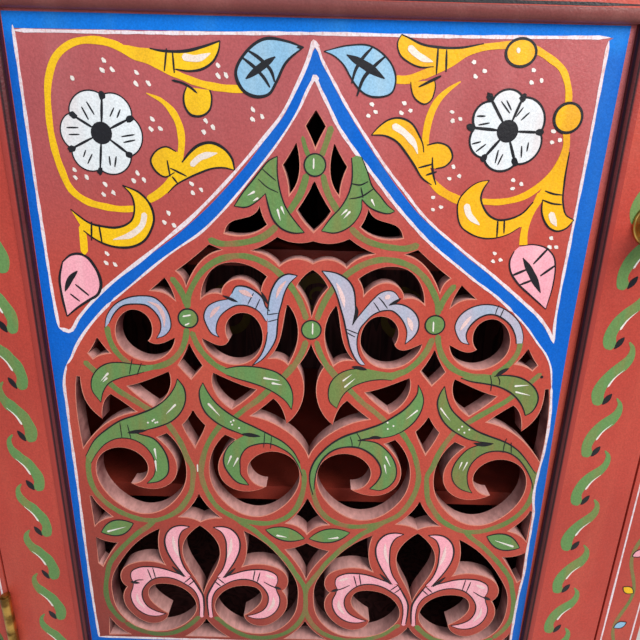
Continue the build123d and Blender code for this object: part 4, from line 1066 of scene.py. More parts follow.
# %% Lilac petals
leaf("lilac", [
    [(-170, 334), (-168, 343), (-160, 354), (-149, 360), (-137, 362), (-128, 361), (-120, 354), (-116, 345),
     (-116, 335), (-121.5, 328.5), (-128, 326)],
    [(-128, 326), (-124, 334), (-124, 341.5), (-128, 349), (-134, 354), (-143, 355), (-154, 353),
     (-161.5, 346), (-166, 338.5)],
], touches=[[(-133, 357.5), (-125, 353.5), (-121, 345), (-121, 336)]], broad=3.4, touch="rose")
leaf("lilac", [
    [(-76, 328.5), (-81.5, 331), (-86, 338.5), (-88, 346), (-85, 354), (-77, 359), (-68, 361)],
    [(-64.6, 366), (-61.5, 371.5), (-54, 372), (-46, 368.5), (-40, 363), (-37, 355), (-34, 352)],
    [(-37, 343), (-43, 351.5), (-52, 356), (-61.5, 356), (-69, 352), (-75, 346), (-78, 338.5), (-78, 331.5),
     (-76, 328.5)],
], veins=[[(-47, 367), (-52, 357)], [(-42, 362), (-46, 353)]],
    touches=[[(-74.5, 355), (-79, 351), (-83, 345)], [(-59, 368.5), (-53, 366.5), (-48, 363.5)]],
    wedges=[((-72, 364), (-60, 359), 2.6)], touch="rose", broad=4)
leaf("lilac", [
    [(-36, 349), (-34.6, 361.5), (-32, 371), (-26, 380), (-20, 383), (-12, 382)],
    [(-12, 382), (-18.5, 375), (-22, 368), (-24.6, 358.5), (-27, 349), (-28, 338.5), (-29, 329), (-34, 318.5),
     (-41.5, 309), (-49, 304)],
    [(-49, 304), (-41.5, 314), (-38, 323), (-36, 334)],
], veins=[[(-36, 349), (-27, 350.5)], [(-35.5, 343), (-27, 345.5)]],
    touches=[[(-21, 377.5), (-26, 371), (-29, 363)]],
    wedges=[((-41, 368), (-35, 357), 2.4)], touch="rose", broad=3.2)
leaf("lavender", [
    [(130.9, 327.9), (124.5, 329.8), (119.9, 335.9), (117.5, 343), (118.9, 349.5), (123, 355.3),
     (129.2, 359.6),
     (137, 362.1), (145.1, 362.3), (153.4, 360.2), (162.2, 355), (168.9, 348.5), (173.2, 340.3),
     (174.6, 334.6),
     (174.6, 330.4)],
    [(169.6, 329.9), (168.6, 334.6), (166.2, 340.1), (162.1, 346), (156, 350.8), (150.2, 353.6),
     (144.7, 354.3),
     (138.2, 352.2), (132.7, 347.8), (128.8, 341.9), (127.4, 336.1), (129.1, 330.4), (130.9, 327.9)],
], veins=[[(151.1, 362.3), (149.6, 358.1), (149.1, 354.2)], [(155.5, 359.7), (154.1, 355.4), (153, 351.5)]],
    touches=[[(129.8, 352.6), (126, 346.9), (121.9, 340)]], touch="blush", broad=3.2)
leaf("lavender", [
    [(7.3, 386.3), (13.3, 385.9), (19.5, 384.6), (24.6, 382.2), (29.5, 378.3), (32.7, 373.3), (34.3, 367.7),
     (35, 361.2), (35.6, 354.6), (34.6, 348), (33.6, 342)],
    [(33.6, 342), (36.2, 346.7), (40, 352.1), (44.5, 358.2), (49.8, 364.8), (54.6, 369.5), (60.1, 371.6),
     (65.1, 371.1), (68.5, 368.2), (70.2, 365.4)],
    [(70.2, 365), (67, 362.3), (62.1, 359.6)],
    [(62.1, 359.6), (67.1, 360.8), (73.5, 360.3), (80, 357.2), (84.8, 352.7), (87.6, 346.2), (87.3, 338.8),
     (84.5, 333.3), (80.4, 329.1), (77.9, 326.9)],
    [(77.9, 326.9), (78.6, 331.7), (78.6, 337.2), (76.9, 342.5), (73.8, 347.8), (69.6, 352.3), (65, 355.2),
     (59.9, 355.3), (54.3, 353.8), (48.8, 350.4), (44, 344.9), (40.4, 340.1), (38.4, 333.3), (38.1, 325.1),
     (39.5, 318.2), (42, 312.7), (45.3, 308.3)],
    [(45.1, 307.2), (42.3, 307.4), (38.6, 310.9), (35, 316.7), (32.1, 323.5), (30.3, 330.3), (28.3, 338.4),
     (26, 347.7), (23.1, 356.9), (20.2, 366), (17.5, 372.3), (13.5, 378.6), (9.6, 383.6), (7.3, 386.3)],
], veins=[[(53.5, 366.2), (57.6, 361.8), (61.3, 356.9)], [(49.7, 361.9), (52.8, 357.8), (55.3, 354.1)],
          [(28.2, 338.7), (33.5, 336.6), (38.7, 334.7)], [(28.3, 336.4), (32.3, 333.8), (36.3, 331.9)]],
    touches=[[(19.2, 376.9), (22.6, 369.9), (25.4, 362.2), (26.2, 357)], [(58.6, 365.1), (62.8, 367.8)],
             [(78.1, 349.9), (81.1, 344), (82.8, 338.6)]],
    wedges=[((35.4, 359.2), (36.7, 353.4), (35.5, 348), (33.6, 342), 3),
        ((62.1, 359.6), (67, 362.3), (71.8, 365.7), 2.8)],
    touch="blush", broad=3.8)
print("petals laid")

# %% [markdown]
# ## Spandrels
# The two corners above the arch hold a white six-petalled flower inside a yellow scroll that
# throws off leaves and balls, with a pale blue leaf at the arch's tip and a pink one at its
# foot. Clusters of three white dots fill the ground between. The painter drew each side
# afresh, so neither is a mirror of the other.

# %% Spandrel parts
chance = np.random.default_rng(7)


def ball(centre, wide, high, finish, pen=2.0):
    """A fruit with its outline: an oval, half as wide and half as high as the two lengths."""
    edge = oval(centre, wide, high, 28)
    patch("door", finish, edge, 2.3)
    ribbon("door", "black", edge, pen, ink_coat, closed=True)


def blot(finish, centre, long, short, lean, coat):
    """A dab of the brush tip: an oval whose ten points move in or out by chance, turned to lean."""
    wobble = chance.uniform(0.78, 1.3, 10)
    edge = oval((0, 0), long, short, 10) * wobble[:, None]
    turned = edge @ np.array([[np.cos(lean), np.sin(lean)], [-np.sin(lean), np.cos(lean)]])
    patch("door", finish, np.array(centre) + turned, coat)


def flower(centre, radius, ends, pen, divider, strokes):
    """A white flower: its radius swells with a sine between the dividers to the given ends."""
    centre, ends = np.array(centre, float), np.array(ends, float)
    aim = np.sort(np.arctan2(*(ends - centre).T[::-1]) % (2 * np.pi))
    marks = np.r_[aim, aim[0] + 2 * np.pi]
    turn = np.linspace(marks[0], marks[-1], 97)[:-1]
    phase = np.interp(turn, marks, np.arange(len(marks)))
    reach = radius * (0.84 + 0.16 * np.abs(np.sin(np.pi * phase)) ** 0.7)
    edge = centre + reach[:, None] * np.column_stack([np.cos(turn), np.sin(turn)])
    patch("door", "petal", edge, 2)
    ribbon("door", "black", edge, pen, 2.6, closed=True)
    for end, a in zip(ends, np.arctan2(*(ends - centre).T[::-1])):
        out = np.array([np.cos(a), np.sin(a)])
        line("door", "black", [centre + out * 7, end - out * 2], divider, 3, ends="pen")
        blot("black", end - out * 1.5, 3.0, 2.2, a, 3.2)
    for stroke in strokes:
        line("door", "black", stroke, 1.3, 3, ends="pen")
    disc("door", "black", centre, 7.8, 3.4)


def dots(places, long, short, lean):
    """White dabs by their centres."""
    for place in places:
        blot("light", place, long, short, lean, 2)


def scroll_leaf(finish, runs, veins=(), touches=(), pen=1.4, bare=()):
    """A yellow or amber leaf on its own side, with broad cream touches."""
    leaf(finish, runs, veins, touches, pen=pen, touch="cream", broad=4.6, vein=1.5, bare=bare)


def band(finish, points, width):
    """A plain band of the scroll."""
    line("door", finish, points, width, 2.1, spacing=3)


print("flowers, fruit, dots and scroll leaves")

# %% Left spandrel
band("yellow", [(-134, 431), (-147.7, 430), (-160, 431.5), (-174, 435.4), (-184, 443), (-190, 458),
    (-194, 480), (-194, 500),
                (-191, 520), (-184, 534), (-172, 542.5), (-157, 545), (-141.5, 542.3), (-129, 536),
                (-117, 532.3),
                (-106, 527), (-97, 523.8), (-86, 520), (-71, 517), (-50, 516)], 5)
line("door", "yellow", [(-103, 458), (-100, 470), (-98.5, 481.5), (-99.7, 491), (-104, 500), (-111, 507),
    (-122, 512)], 5, 2.1, ends="tail")
band("yellow", [(-103, 464), (-108, 452), (-117, 443), (-128, 436.5)], 6)
band("yellow", [(-179.5, 418), (-179.5, 405), (-180, 394)], 6)
scroll_leaf("yellow", [
    [(-117.4, 540.7), (-111.4, 539.6), (-105.6, 539.2), (-98.6, 539.1), (-91.6, 539.7), (-82.1, 542),
     (-68, 546.5)],
    [(-68, 546.5), (-69, 541), (-73, 533.8), (-80, 529), (-90, 527), (-100, 528)], [(-112, 529)],
     [(-126, 534)], [(-137, 542.4)], [(-132.2, 542.2)], [(-125, 541)],
], veins=[[(-105.5, 541), (-108, 526.5)], [(-101.5, 539), (-101, 525.5)]],
    touches=[[(-95, 536), (-84, 535.2), (-75, 538.5)]], pen=1.7)
scroll_leaf("yellow", [[
    (-92.8, 516.7), (-94.8, 512.5), (-95.4, 508.1), (-94.2, 502.6), (-90.8, 498.4), (-86.6, 497.4),
    (-81.1, 498.5),
    (-77, 501.9), (-75.3, 507.5), (-75.6, 513), (-76.5, 515.1),
]])
line("door", "black", [(-103.3, 520.9), (-95.1, 519), (-89.3, 515.9), (-85.3, 512.7)], 1.7, 3.3)
scroll_leaf("yellow", [
    [(-99, 465.4), (-93, 472.3), (-86, 477.7), (-77, 479.7), (-67.7, 476), (-61.5, 468.5), (-60, 460.8)],
    [(-60, 460.8), (-67.7, 462.3), (-77, 461.5), (-85.4, 458.5), (-96, 453.8), (-104.6, 449), (-111, 443)],
    [(-117, 441)],
], veins=[[(-110, 466.5), (-108.5, 455)], [(-108, 461), (-96, 455.5)], [(-107, 455), (-103, 450)]],
    touches=[[(-92.6, 463), (-85.5, 469), (-72.5, 472.6)]], pen=1.8)
scroll_leaf("yellow", [[(-103, 472.8), (-110, 476), (-118.5, 472.3), (-122.3, 466), (-119, 458.5),
    (-112.3, 454.6), (-105, 458)], [(-99, 459), (-99.5, 472)]], pen=1.8, bare=(1,))
scroll_leaf("yellow", [
    [(-145, 447.7), (-132.3, 442.3), (-127, 437), (-123.5, 429), (-123, 424), (-126, 414.6), (-132.3, 406),
     (-141.5, 401.5), (-153.8, 400.8), (-163, 403), (-170.8, 407), (-178.5, 413)],
    [(-186.6, 429), (-181.5, 424.6), (-172.3, 418.5), (-163, 416.5), (-152.3, 416), (-144.6, 418.5),
     (-140, 422.3), (-137.7, 428.5), (-139, 440.8), (-145, 447.7)],
], veins=[[(-171.5, 420), (-173, 405.5)], [(-166, 418), (-165, 403.5)]],
    touches=[[(-129.8, 428), (-132.2, 419), (-141, 411.2), (-156, 406.6)]], pen=2.2)
leaf("sky", [
    [(-10, 544), (-22, 534), (-29, 521), (-34, 513.5), (-42, 511.5), (-52, 515), (-57.5, 526), (-50, 540),
     (-37, 548.5), (-22, 547.5), (-10, 544)],
], veins=[[(-53.4, 537), (-44.3, 530.6), (-36.6, 522.8), (-33.3, 517.8)],
    [(-49, 541.3), (-39.8, 535.7), (-32.1, 527.9), (-29.9, 521.5)]],
    wedges=[((-50.5, 523), (-40, 530.5), (-29.5, 537.5), 5.8)], pen=2.1, vein=2.5)
line("door", "black", [(-14.6, 543.8), (-9.4, 544)], 2.2, 3.3)
leaf("pink", [
    [(-198, 388), (-190, 394), (-183, 394.5), (-178, 392), (-173, 385), (-170, 377), (-169.5, 370),
     (-173, 362),
     (-180, 357.5), (-190, 351), (-200, 343)],
    [(-200, 343), (-202, 360), (-202, 375), (-198, 388)],
], veins=[[(-190, 370), (-180, 361)], [(-195, 362), (-188, 356)]],
    wedges=[((-187, 381), (-193, 375), (-199, 364), 5)],
    pen=2.3, vein=1.6)
flower((-157, 484.3), 30, [(-154, 510.8), (-134, 495.4), (-136.6, 469), (-161, 456), (-181.5, 472.3),
    (-177.7, 496.5)], 1.0, 1.9, [
    [(-169.6, 501.8), (-165.5, 493.2)], [(-165.6, 505.2), (-160.9, 496.7)],
     [(-146.1, 501.8), (-149.7, 495.6)],
    [(-141.7, 500.6), (-144.6, 494.9)], [(-142.5, 482.2), (-132.8, 483.8)],
     [(-141.3, 478.2), (-132.6, 480.1)],
    [(-182.2, 487.4), (-173.5, 487.6)], [(-181.2, 482.7), (-173.3, 482.9)],
     [(-169.9, 472.2), (-172.2, 467.2)],
    [(-165.4, 469.5), (-169.5, 462.6)], [(-152.9, 468.4), (-152.7, 461.7)],
     [(-147.7, 468.3), (-149.5, 460.7)],
])
dots([
    (-150.5, 532.5), (-152, 526), (-145, 526.5), (-128, 525), (-129, 518), (-120, 518.5), (-70, 531),
    (-70, 524.5),
    (-64.5, 525), (-119, 494.5), (-120.5, 488), (-113.5, 488.5), (-46, 503), (-39, 498.5), (-46, 496.5),
    (-80, 494.5),
    (-75, 490.5), (-82, 487), (-174, 520.5), (-180, 458), (-180, 452.5), (-171.5, 453), (-133, 457),
    (-136, 451),
    (-128.5, 452), (-158, 448), (-152.5, 442), (-160, 440.5), (-92.5, 450), (-85.5, 446), (-92, 443.5),
    (-111.5, 428), (-115, 421), (-108, 419), (-162, 395.5), (-163.5, 388), (-156.5, 387),
], 2.0, 1.25, -0.9)
print("left spandrel laid")

# %% Right spandrel
band("amber", [(124, 548), (133, 548.8), (141, 549), (153, 546), (163, 541), (172, 535), (179, 522),
    (181, 500), (184, 482), (178, 466),
      (170.8, 457), (158.5, 447.7), (141.5, 443), (125, 443)], 5)
band("amber", [(54, 525.6), (60.7, 525), (65.8, 525.5), (71.3, 527.3), (76.8, 529.7), (84.1, 532.2)], 6)
line("door", "amber", [(80.8, 474), (80.8, 492.3), (82.3, 501.5), (87, 512.3), (94, 519.5), (102, 525)], 5.4,
    2.1, ends="tail")
band("amber", [(82, 474), (82.5, 466), (88, 456.5), (95.4, 450), (103, 446), (112, 442.5)], 6)
patch("door", "amber", outline([
    [(160, 411), (159.7, 418.6), (160.2, 425.6), (163, 435), (166.5, 444), (169.5, 451), (173.5, 457.5),
     (177, 461)],
    [(174.5, 452), (172.8, 445.3), (168.5, 436.5), (166, 427.7), (165.3, 420), (166.5, 411)],
], 3), 2.25)
scroll_leaf("amber", [
    [(115.4, 549.2), (98.5, 546.2), (84.6, 546.2), (72, 548), (64.6, 551), (58, 553.5)],
    [(58, 553.5), (55.7, 549), (58, 540.8), (64.6, 536.2), (73, 533.4), (82, 534)],
    [(75.4, 525.4), (86, 530), (95.4, 534.6), (105, 541), (115, 544.5), (130, 546.5)], [(130, 550.8)],
], veins=[[(84, 546), (84.3, 529)], [(90, 545), (91, 531)]],
    touches=[[(63.4, 546.4), (68.1, 542.4), (73.4, 539.3), (81, 537)]], bare=(2,))
ball((142, 544.3), 10.5, 8.8, "amber", 1.8)
line("door", "cream", [(139.4, 547.4), (140.4, 543.8)], 2.6, 4, spacing=1)
scroll_leaf("amber", [[
    (66.7, 523.8), (67.5, 519.4), (69.5, 514.5), (73.3, 511.1), (78, 509.6), (82, 512), (84, 517.5),
    (84.3, 522.7),
    (83.3, 525.3),
]])
ball((182, 503), 10, 10, "amber")
line("door", "black", [(72.5, 520.7), (79.8, 524.3), (87.8, 528.2)], 2.1, 3.3, ends="pen")
scroll_leaf("amber", [
    [(40.8, 488), (46, 493.8), (53.8, 499), (60, 500), (69, 497), (75.4, 489), (79.2, 481.5), (80, 477)],
    [(88, 454), (80.8, 458.5), (73.8, 467.7), (67.7, 475.4), (58.5, 484.6), (50.8, 487.7), (40.8, 488)],
], veins=[[(77, 466), (87.3, 468.9)], [(83, 460.9), (90.9, 463.6)],
    [(86.8, 473.6), (87.2, 468.3), (88.6, 461.2), (91.2, 454.3)]],
    touches=[[(55.6, 495), (62.7, 491.4), (69.2, 486.2), (73.2, 481.5), (75.6, 475.8)]])
scroll_leaf("amber", [[(82, 482), (90.8, 483.8), (98.5, 480.8), (101.5, 473.8), (97, 467.7), (90, 465.8)],
    [(80, 467)]])
scroll_leaf("amber", [
    [(130.8, 458.5), (123.8, 457.2), (114.6, 450.8), (109.5, 443), (109.7, 433.8), (113, 424.6),
     (121.5, 418.5),
     (132.3, 415.4), (141.5, 416), (150.8, 419.2), (158.5, 424.5)],
    [(164.8, 426), (166, 432.2), (171, 444), (174, 452), (168, 450)],
    [(166, 443.5), (158.5, 434.6), (149, 430.3), (141.5, 429.5), (134.6, 432.3), (129, 438.5), (126, 446),
     (127, 451.5), (130.8, 458.5)],
], veins=[[(141, 430), (142, 416)], [(146, 430), (147, 419.5)]],
    touches=[[(115.5, 441), (118.5, 433), (127.4, 425.4)]], bare=(1,))
scroll_leaf("amber", [
    [(172.8, 445.6), (173.5, 437), (176.5, 430), (181.5, 424.5), (188, 422.3), (194, 424.5), (199, 431)],
    [(199, 431), (192.5, 434.5), (188.7, 443), (187, 458), (187, 480)], [(183, 484)], [(178, 470)],
     [(174, 458)],
], veins=[[(173.5, 452), (180.3, 449.9), (187.3, 449.3)], [(173, 445.2), (180.2, 442.9), (188, 442.2)]],
    touches=[[(180.5, 436.5), (183, 431), (186.5, 426)]])
leaf("sky", [
    [(4.6, 541.8), (21.5, 545.8), (37, 545.8), (46, 541), (53.8, 532.3), (56, 524.6), (53.8, 516.6),
     (44.6, 513.4),
     (36, 514.6), (30, 518.5), (23.8, 526), (18.5, 533.8), (11, 539.5), (4.6, 541.8)],
], veins=[[(38.1, 545), (31.2, 537.3), (26.9, 529.9), (25, 522)],
    [(47.8, 539.8), (40.6, 533.6), (33.5, 526), (29, 513.8)]],
    wedges=[((20.5, 540), (34, 533.5), (48, 525.5), 5.8)], pen=1.8, vein=2.4)
leaf("pink", [
    [(160.8, 410), (170.8, 411.5), (181.5, 409), (189, 401.5), (190.8, 395), (191.5, 380), (189, 360)],
    [(189, 360), (175, 371), (163, 381), (156, 390.8), (154.6, 398.5), (157, 406)],
], veins=[[(183, 409), (173.4, 396.4)], [(191, 396), (180.2, 387)], [(157.5, 386.5), (169, 392)],
    [(165, 379.3), (174.5, 383.5)]],
    wedges=[((164.5, 401), (173.2, 388.5), (182.5, 373.5), 6)], pen=1.4, vein=2)
flower((139.6, 493), 28, [(123, 517), (148, 517), (164.6, 492.8), (148.5, 470.5), (123.5, 472.8), (111, 495)],
    1.6, 2.3, [
    [(134.7, 480), (133.5, 470.7)], [(138.4, 477.2), (135.5, 469.5)], [(121.2, 485.4), (114.7, 483.6)],
    [(125, 483.8), (118.3, 478.4)], [(151.4, 483.3), (152.2, 475.2)], [(156, 485.8), (155.7, 479.4)],
    [(116.1, 502.6), (122.4, 502.8)], [(118, 496.7), (126, 498.3)], [(132.4, 512.9), (139.6, 505.1)],
    [(136.2, 513.6), (140.5, 507.1)], [(148.8, 509.2), (144.3, 502.8)], [(153.7, 506), (148.3, 500.6)],
])
dots([
    (110, 537.5), (118, 532), (112, 528.5), (152.5, 533.5), (159, 527), (152, 525.5), (98, 505),
    (104.5, 500.5), (99, 499),
    (173, 494), (178.5, 488), (173, 486.5), (63, 510), (68, 505), (61.5, 503.5), (40, 508.5), (43, 503.5),
    (38, 501),
    (103, 467.5), (108, 461), (101, 459), (148.5, 459), (155, 456.5), (149, 453), (90, 445), (96.5, 438),
    (90.5, 436),
    (142, 404), (147, 399), (141.5, 397.5), (184, 417), (184, 410), (189, 410),
], 1.65, 1.3, -0.5)
print("right spandrel laid")

# %% [markdown]
# ## The frame and the sides
# The stiles carry a green braid, laid stroke after stroke with a loaded brush: each stroke
# starts with a round head, sweeps up and to the side and thins out under the one above. One
# stroke, its white touch and its dark eye are drawn once and laid every 50 mm.

# %% Braid
stile_front, stile_middle, braid_step = -0.161, 244, 50
stile_face = sheet((0.0, stile_front, drawing_foot), (1, 0, 0), (0, 0, 1))
braid_stroke = [(0, 0), (-2.7, 10.2), (0.5, 21.7), (7, 30.7), (13.5, 37), (17.5, 44), (17.5, 52), (14, 57)]
braid_touch = [(4, 17), (8, 25), (15, 33)]
braid_eye = [(3, 1), (6, 6), (9, 11)]
for side in (-1, 1):
    for foot in 28.9 + braid_step * np.arange(-2, 12):
        for run, finish, width, coat, ends in (
            (braid_stroke, "leaf", 10, 1, "tail"), (braid_touch, "light", 1.6, 3, "taper"),
            (braid_eye, "black", 5, 2, "swell"),
        ):
            path = smooth(run, 1.5) + [stile_middle, foot]
            ribbon("door", finish, path * [side, 1], width, coat, stile_face, ends)
print("braid laid on both stiles")

# %% [markdown]
# ## Vines and flowers of the frame
# The rails, the frame round the door and the plinth repeat the panel's leaves and flowers in
# a plainer form: a thin stem that swings from side to side, a small leaf at every swing in
# four colours by turns, and a flower in the middle. Hand-drawn runs would be needless here,
# so both are formulas.

# %% Vines and lines of the frame
def vine(body, start, end, swing, waves, face, leaf_size=13):
    """A stem: start to end plus swing x the sine of its waves, across; a leaf at each crest.

    A leaf is two parabolas, 0.3 of its length high, that lean out from the crest.
    """
    start, end = np.array(start, float), np.array(end, float)
    along = (end - start) / np.hypot(*(end - start))
    aside = np.array([-along[1], along[0]])
    t = np.linspace(0, 1, 24 * waves + 1)[:, None]
    path = start + t * (end - start) + swing * np.sin(2 * np.pi * waves * t) * aside
    ribbon(body, "green", path, 3.6, 1, face)
    for k in range(2 * waves):
        at = (k + 0.5) / (2 * waves)
        lean = 1 if k % 2 else -1
        root = start + at * (end - start) - lean * swing * aside
        u = np.linspace(0, 1, 12)[:, None]
        point = root + leaf_size * (along * 0.55 + lean * aside * 0.85)
        body_line = point - root
        flank = np.array([-body_line[1], body_line[0]]) * 0.3
        bulge = 4 * u * (1 - u) * flank
        upper, lower = root + u * body_line + bulge, root + u * body_line - bulge
        edge = np.vstack([upper, lower[::-1][1:-1]])
        patch(body, ("pink", "leaf", "sky", "yellow")[k % 4], edge, 2, face)
        ribbon(body, "black", edge, 0.8, 3, face, closed=True)


def rosette(body, centre, radius, face):
    """A six-petalled flower: radius x (0.8 + 0.2 x a power of the sine of three times the angle)."""
    turn = np.linspace(0, 2 * np.pi, 96, endpoint=False)
    reach = radius * (0.8 + 0.2 * np.abs(np.sin(3 * turn)) ** 0.7)
    ray = np.column_stack([np.cos(turn), np.sin(turn)])
    patch(body, "petal", np.array(centre) + reach[:, None] * ray, line_coat, face)
    for a in np.arange(6) * np.pi / 3:
        out = np.array([np.cos(a), np.sin(a)])
        ribbon(body, "black", np.array(centre) + np.linspace(0.25, 0.8, 6)[:, None] * radius * out, 1, 3,
            face)
    disc(body, "black", centre, radius * 0.25, 3.2, face)


def frame_line(body, low, high, width, finish, coat, face):
    """A rectangular painted line with mitred corners."""
    (x0, z0), (x1, z1) = low, high
    edge = np.vstack([np.linspace(a, b, 24, endpoint=False) for a, b in (
        ((x0, z0), (x1, z0)), ((x1, z0), (x1, z1)), ((x1, z1), (x0, z1)), ((x0, z1), (x0, z0)))])
    ribbon(body, finish, edge, width, coat, face, closed=True)


for z in (-50, 602):
    for side in (-1, 1):
        vine("door", (side * 26, z), (side * 214, z), 8, 3, stile_face, 18)
    rosette("door", (0, z), 19, stile_face)
for side in (-1, 1):
    line("cabinet", "white", [(side * 296, -78), (side * 296, 630)], 1.6, 1, stile_face, spacing=40)
    line("cabinet", "white", [(side * 325, -78), (side * 325, 630)], 1.6, 1, stile_face, spacing=40)
    vine("cabinet", (side * 310.5, -70), (side * 310.5, 622), 5, 8, stile_face, 13)

plinth_front = -0.169
plinth_face = sheet((0.0, plinth_front, 0.0), (1, 0, 0), (0, 0, 1))
line("cabinet", "blue", [(-330, 63), (330, 63)], 5, 1, plinth_face, spacing=60)
line("cabinet", "white", [(-330, 58.5), (330, 58.5)], 1.6, 2, plinth_face, spacing=60)
# A black line along the rail just above the door's top moulding: painted shade where the moulding meets the
# rail.
line("door", "black", [(-221, 573), (221, 573)], 2.4, 1, stile_face, spacing=40)
print("vines on rails and face frame")

# %% [markdown]
# ## The sides
# A cabinet like this stands free, so its sides are painted too: the blue and white border,
# the pointed arch of the door, and vines with flowers inside and above it. Half of the arch
# is drawn and turned over, and both sides take the same drawing.

# %% Sides
side_out, side_middle = 0.331, 0.024
side_faces = [
    sheet((way * side_out, side_middle, drawing_foot), (0, way, 0), (0, 0, 1)) for way in (1, -1)
]
arch_side = smooth([(-105, 60), (-105, 290), (-102, 320), (-88, 350), (-60, 385), (-35, 425), (-14, 470),
    (0, 515)], 5)
for face in side_faces:
    frame_line("cabinet", (-138, -95), (138, 630), 9, "blue", 1, face)
    for low, high in (((-144, -101), (144, 636)), ((-132, -89), (132, 624))):
        frame_line("cabinet", low, high, 2.2, "white", 2, face)
    whole = np.vstack([arch_side, (arch_side * [-1, 1])[::-1][1:], [(105, 60)], [(0, 20)]])
    for shape, width, finish, coat in ((whole, 9, "blue", 1), (whole * [1.06, 1.0], 2, "white", 2),
        (whole * [0.94, 1.0], 2, "white", 2)):
        ribbon("cabinet", finish, shape, width, coat, face, closed=True)
    for centre, radius in (((0, 230), 42), ((-88, 560), 22), ((88, 560), 22), ((0, -40), 26)):
        rosette("cabinet", centre, radius, face)
    for side in (-1, 1):
        vine("cabinet", (side * 62, 84), (side * 56, 380), 13, 3, face, 30)
        vine("cabinet", (side * 34, -40), (side * 124, -40), 9, 2, face, 20)
        vine("cabinet", (side * 112, 350), (side * 104, 535), 9, 3, face, 20)
    vine("cabinet", (0, 50), (0, 182), 12, 2, face, 28)
    vine("cabinet", (0, 278), (0, 450), 11, 2, face, 28)
print("sides laid")

# %% [markdown]
# ## Scrolls on the back
# Through the openings and the open door one sees old yellow scrolls on the dark back. Each is
# a spiral laid with a broad, nearly dry brush.

# %% Inside of the back
back_inside = 0.179
back_face = sheet((0.0, back_inside, 0.0), (1, 0, 0), (0, 0, 1))
turn = np.linspace(0, 1, 60)[:, None]
for x, z, size, way in (
    (-129, 442, 46, 1), (129, 442, 46, -1), (-129, 225, 40, 1), (129, 225, 40, -1), (-120, 690, 40, 1),
    (120, 690, 40, -1),
    (0, 470, 34, 1), (0, 250, 34, -1),
):
    # The radius shrinks evenly to a fifth while the angle turns through ten radians.
    reach = size * (1 - 0.8 * turn)
    spiral = (x, z) + reach * np.column_stack([way * np.cos(10 * turn), np.sin(10 * turn)])
    ribbon("cabinet", "olive", spiral, 15, 1, back_face, "tail")
print("scrolls on the back")

# %% [markdown]
# ## Worn and lit edges of the openings
# A saw leaves a sharp edge that takes little paint, so a thin pale line runs round every
# opening; it is wider along the lower edges, whose walls face up, as a painted highlight.
# It is found on the board itself: an edge of the front face that only one triangle uses
# borders an opening, and its line lies on the triangle's side.

# %% Rims
rim_film = 0.00007


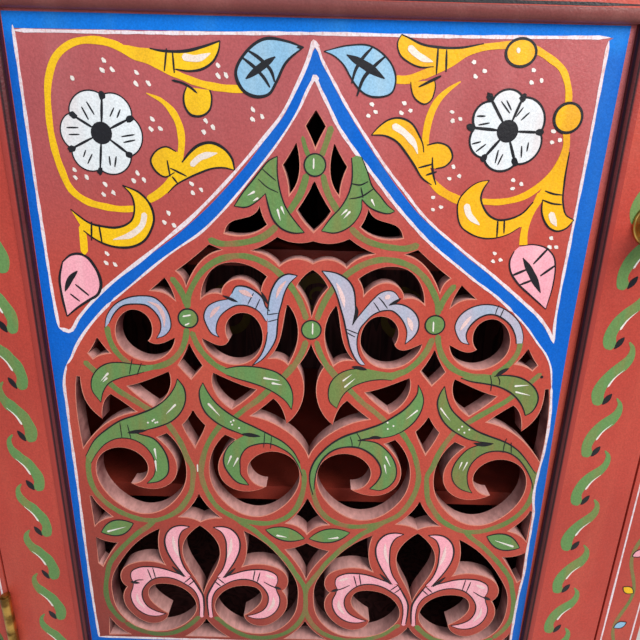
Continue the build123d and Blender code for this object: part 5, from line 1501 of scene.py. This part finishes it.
def rim(piece, front, width, body, finish):
    """Closed strips along the open edges of the face at Y = front, all at once in arrays.

    Each end of an edge moves in along the mean of its edges' normals, times the width.
    """
    mesh = piece.data
    mesh.calc_loop_triangles()
    places = np.empty(len(mesh.vertices) * 3)
    mesh.vertices.foreach_get("co", places)
    turned = np.array(piece.matrix_world)
    places = places.reshape(-1, 3) @ turned[:3, :3].T + turned[:3, 3]
    triangles = np.empty(len(mesh.loop_triangles) * 3, np.int64)
    mesh.loop_triangles.foreach_get("vertices", triangles)
    _, first, same = np.unique(np.round(places, 6), axis=0, return_index=True, return_inverse=True)
    places, triangles = places[first], same.reshape(-1)[triangles].reshape(-1, 3)
    flat = (np.abs(places[triangles][:, :, 1] - front) < 2e-5).all(1)
    triangles = triangles[flat]
    edges = np.vstack([triangles[:, [0, 1]], triangles[:, [1, 2]], triangles[:, [2, 0]]])
    third = np.r_[triangles[:, 2], triangles[:, 0], triangles[:, 1]]
    _, found, uses = np.unique(np.sort(edges, 1), axis=0, return_index=True, return_counts=True)
    edges, third = edges[found[uses == 1]], third[found[uses == 1]]
    flat_places = places[:, [0, 2]]
    middle = flat_places[edges].mean(1)
    inside = (np.abs(middle[:, 0]) < 0.2185) & (middle[:, 1] > 0.18) & (middle[:, 1] < 0.7515)
    edges, third = edges[inside], third[inside]
    along = flat_places[edges[:, 1]] - flat_places[edges[:, 0]]
    aside = np.column_stack([-along[:, 1], along[:, 0]])
    aside /= np.linalg.norm(aside, axis=1)[:, None]
    toward = ((flat_places[third] - flat_places[edges[:, 0]]) * aside).sum(1)
    aside *= np.sign(toward)[:, None]
    push = np.zeros((len(places), 2))
    np.add.at(push, edges[:, 0], aside)
    np.add.at(push, edges[:, 1], aside)
    used, edges = np.unique(edges, return_inverse=True)
    edges = edges.reshape(-1, 2)
    push = push[used]
    size = np.maximum(np.linalg.norm(push, axis=1), 0.9)[:, None]
    push = push / size * (2 / size)
    shore = flat_places[used]
    # Painted highlight: the line is wider on the lower edges of the openings, whose walls face up, and
    # narrower on the upper ones.
    inner = shore + push * width / 1000 * (0.7 - 0.45 * push[:, 1:])
    below, above = np.full(len(used), front + sunk / 1000), np.full(len(used), front - rim_film)
    ring = np.stack([
        np.column_stack([at[:, 0], depth, at[:, 1]])
        for at, depth in ((shore, below), (shore, above), (inner, above), (inner, below))
    ], 1)
    k = np.arange(4)[None]
    here, there = edges[:, :1] * 4, edges[:, 1:] * 4
    quads = np.stack([here + k, here + (k + 1) % 4, there + (k + 1) % 4, there + k], 2).reshape(-1, 4)
    keep(body, finish, ring.reshape(-1, 3), quads.tolist())
    return len(edges)


print(rim(nodes["door_panel"], board_front, 0.9, "door", "rim"), "edge lines")

# %% [markdown]
# ## Joining the coats
# All skins of one colour on one body become one object, so the cabinet stays easy to handle.
# Each rides the body it is painted on: what is on the door turns with the door.

# %% Make the painted objects
for (body, finish), skins in strokes.items():
    starts = np.cumsum([0] + [len(points) for points, _ in skins[:-1]])
    faces = [[v + start for v in face] for start, (_, part) in zip(starts.tolist(), skins) for face in part]
    name = f"{finish}_coat_{body}"
    mesh = bpy.data.meshes.new(name)
    mesh.from_pydata(np.vstack([points for points, _ in skins]).tolist(), [], faces)
    shell = bmesh.new()
    shell.from_mesh(mesh)
    bmesh.ops.recalc_face_normals(shell, faces=shell.faces)
    shell.to_mesh(mesh)
    shell.free()
    mesh.materials.append(finishes[finish])
    coat = bpy.data.objects.new(name, mesh)
    bpy.context.scene.collection.objects.link(coat)
    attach(coat, body)
print(len(strokes), "painted objects,", sum(len(skins) for skins in strokes.values()), "skins")
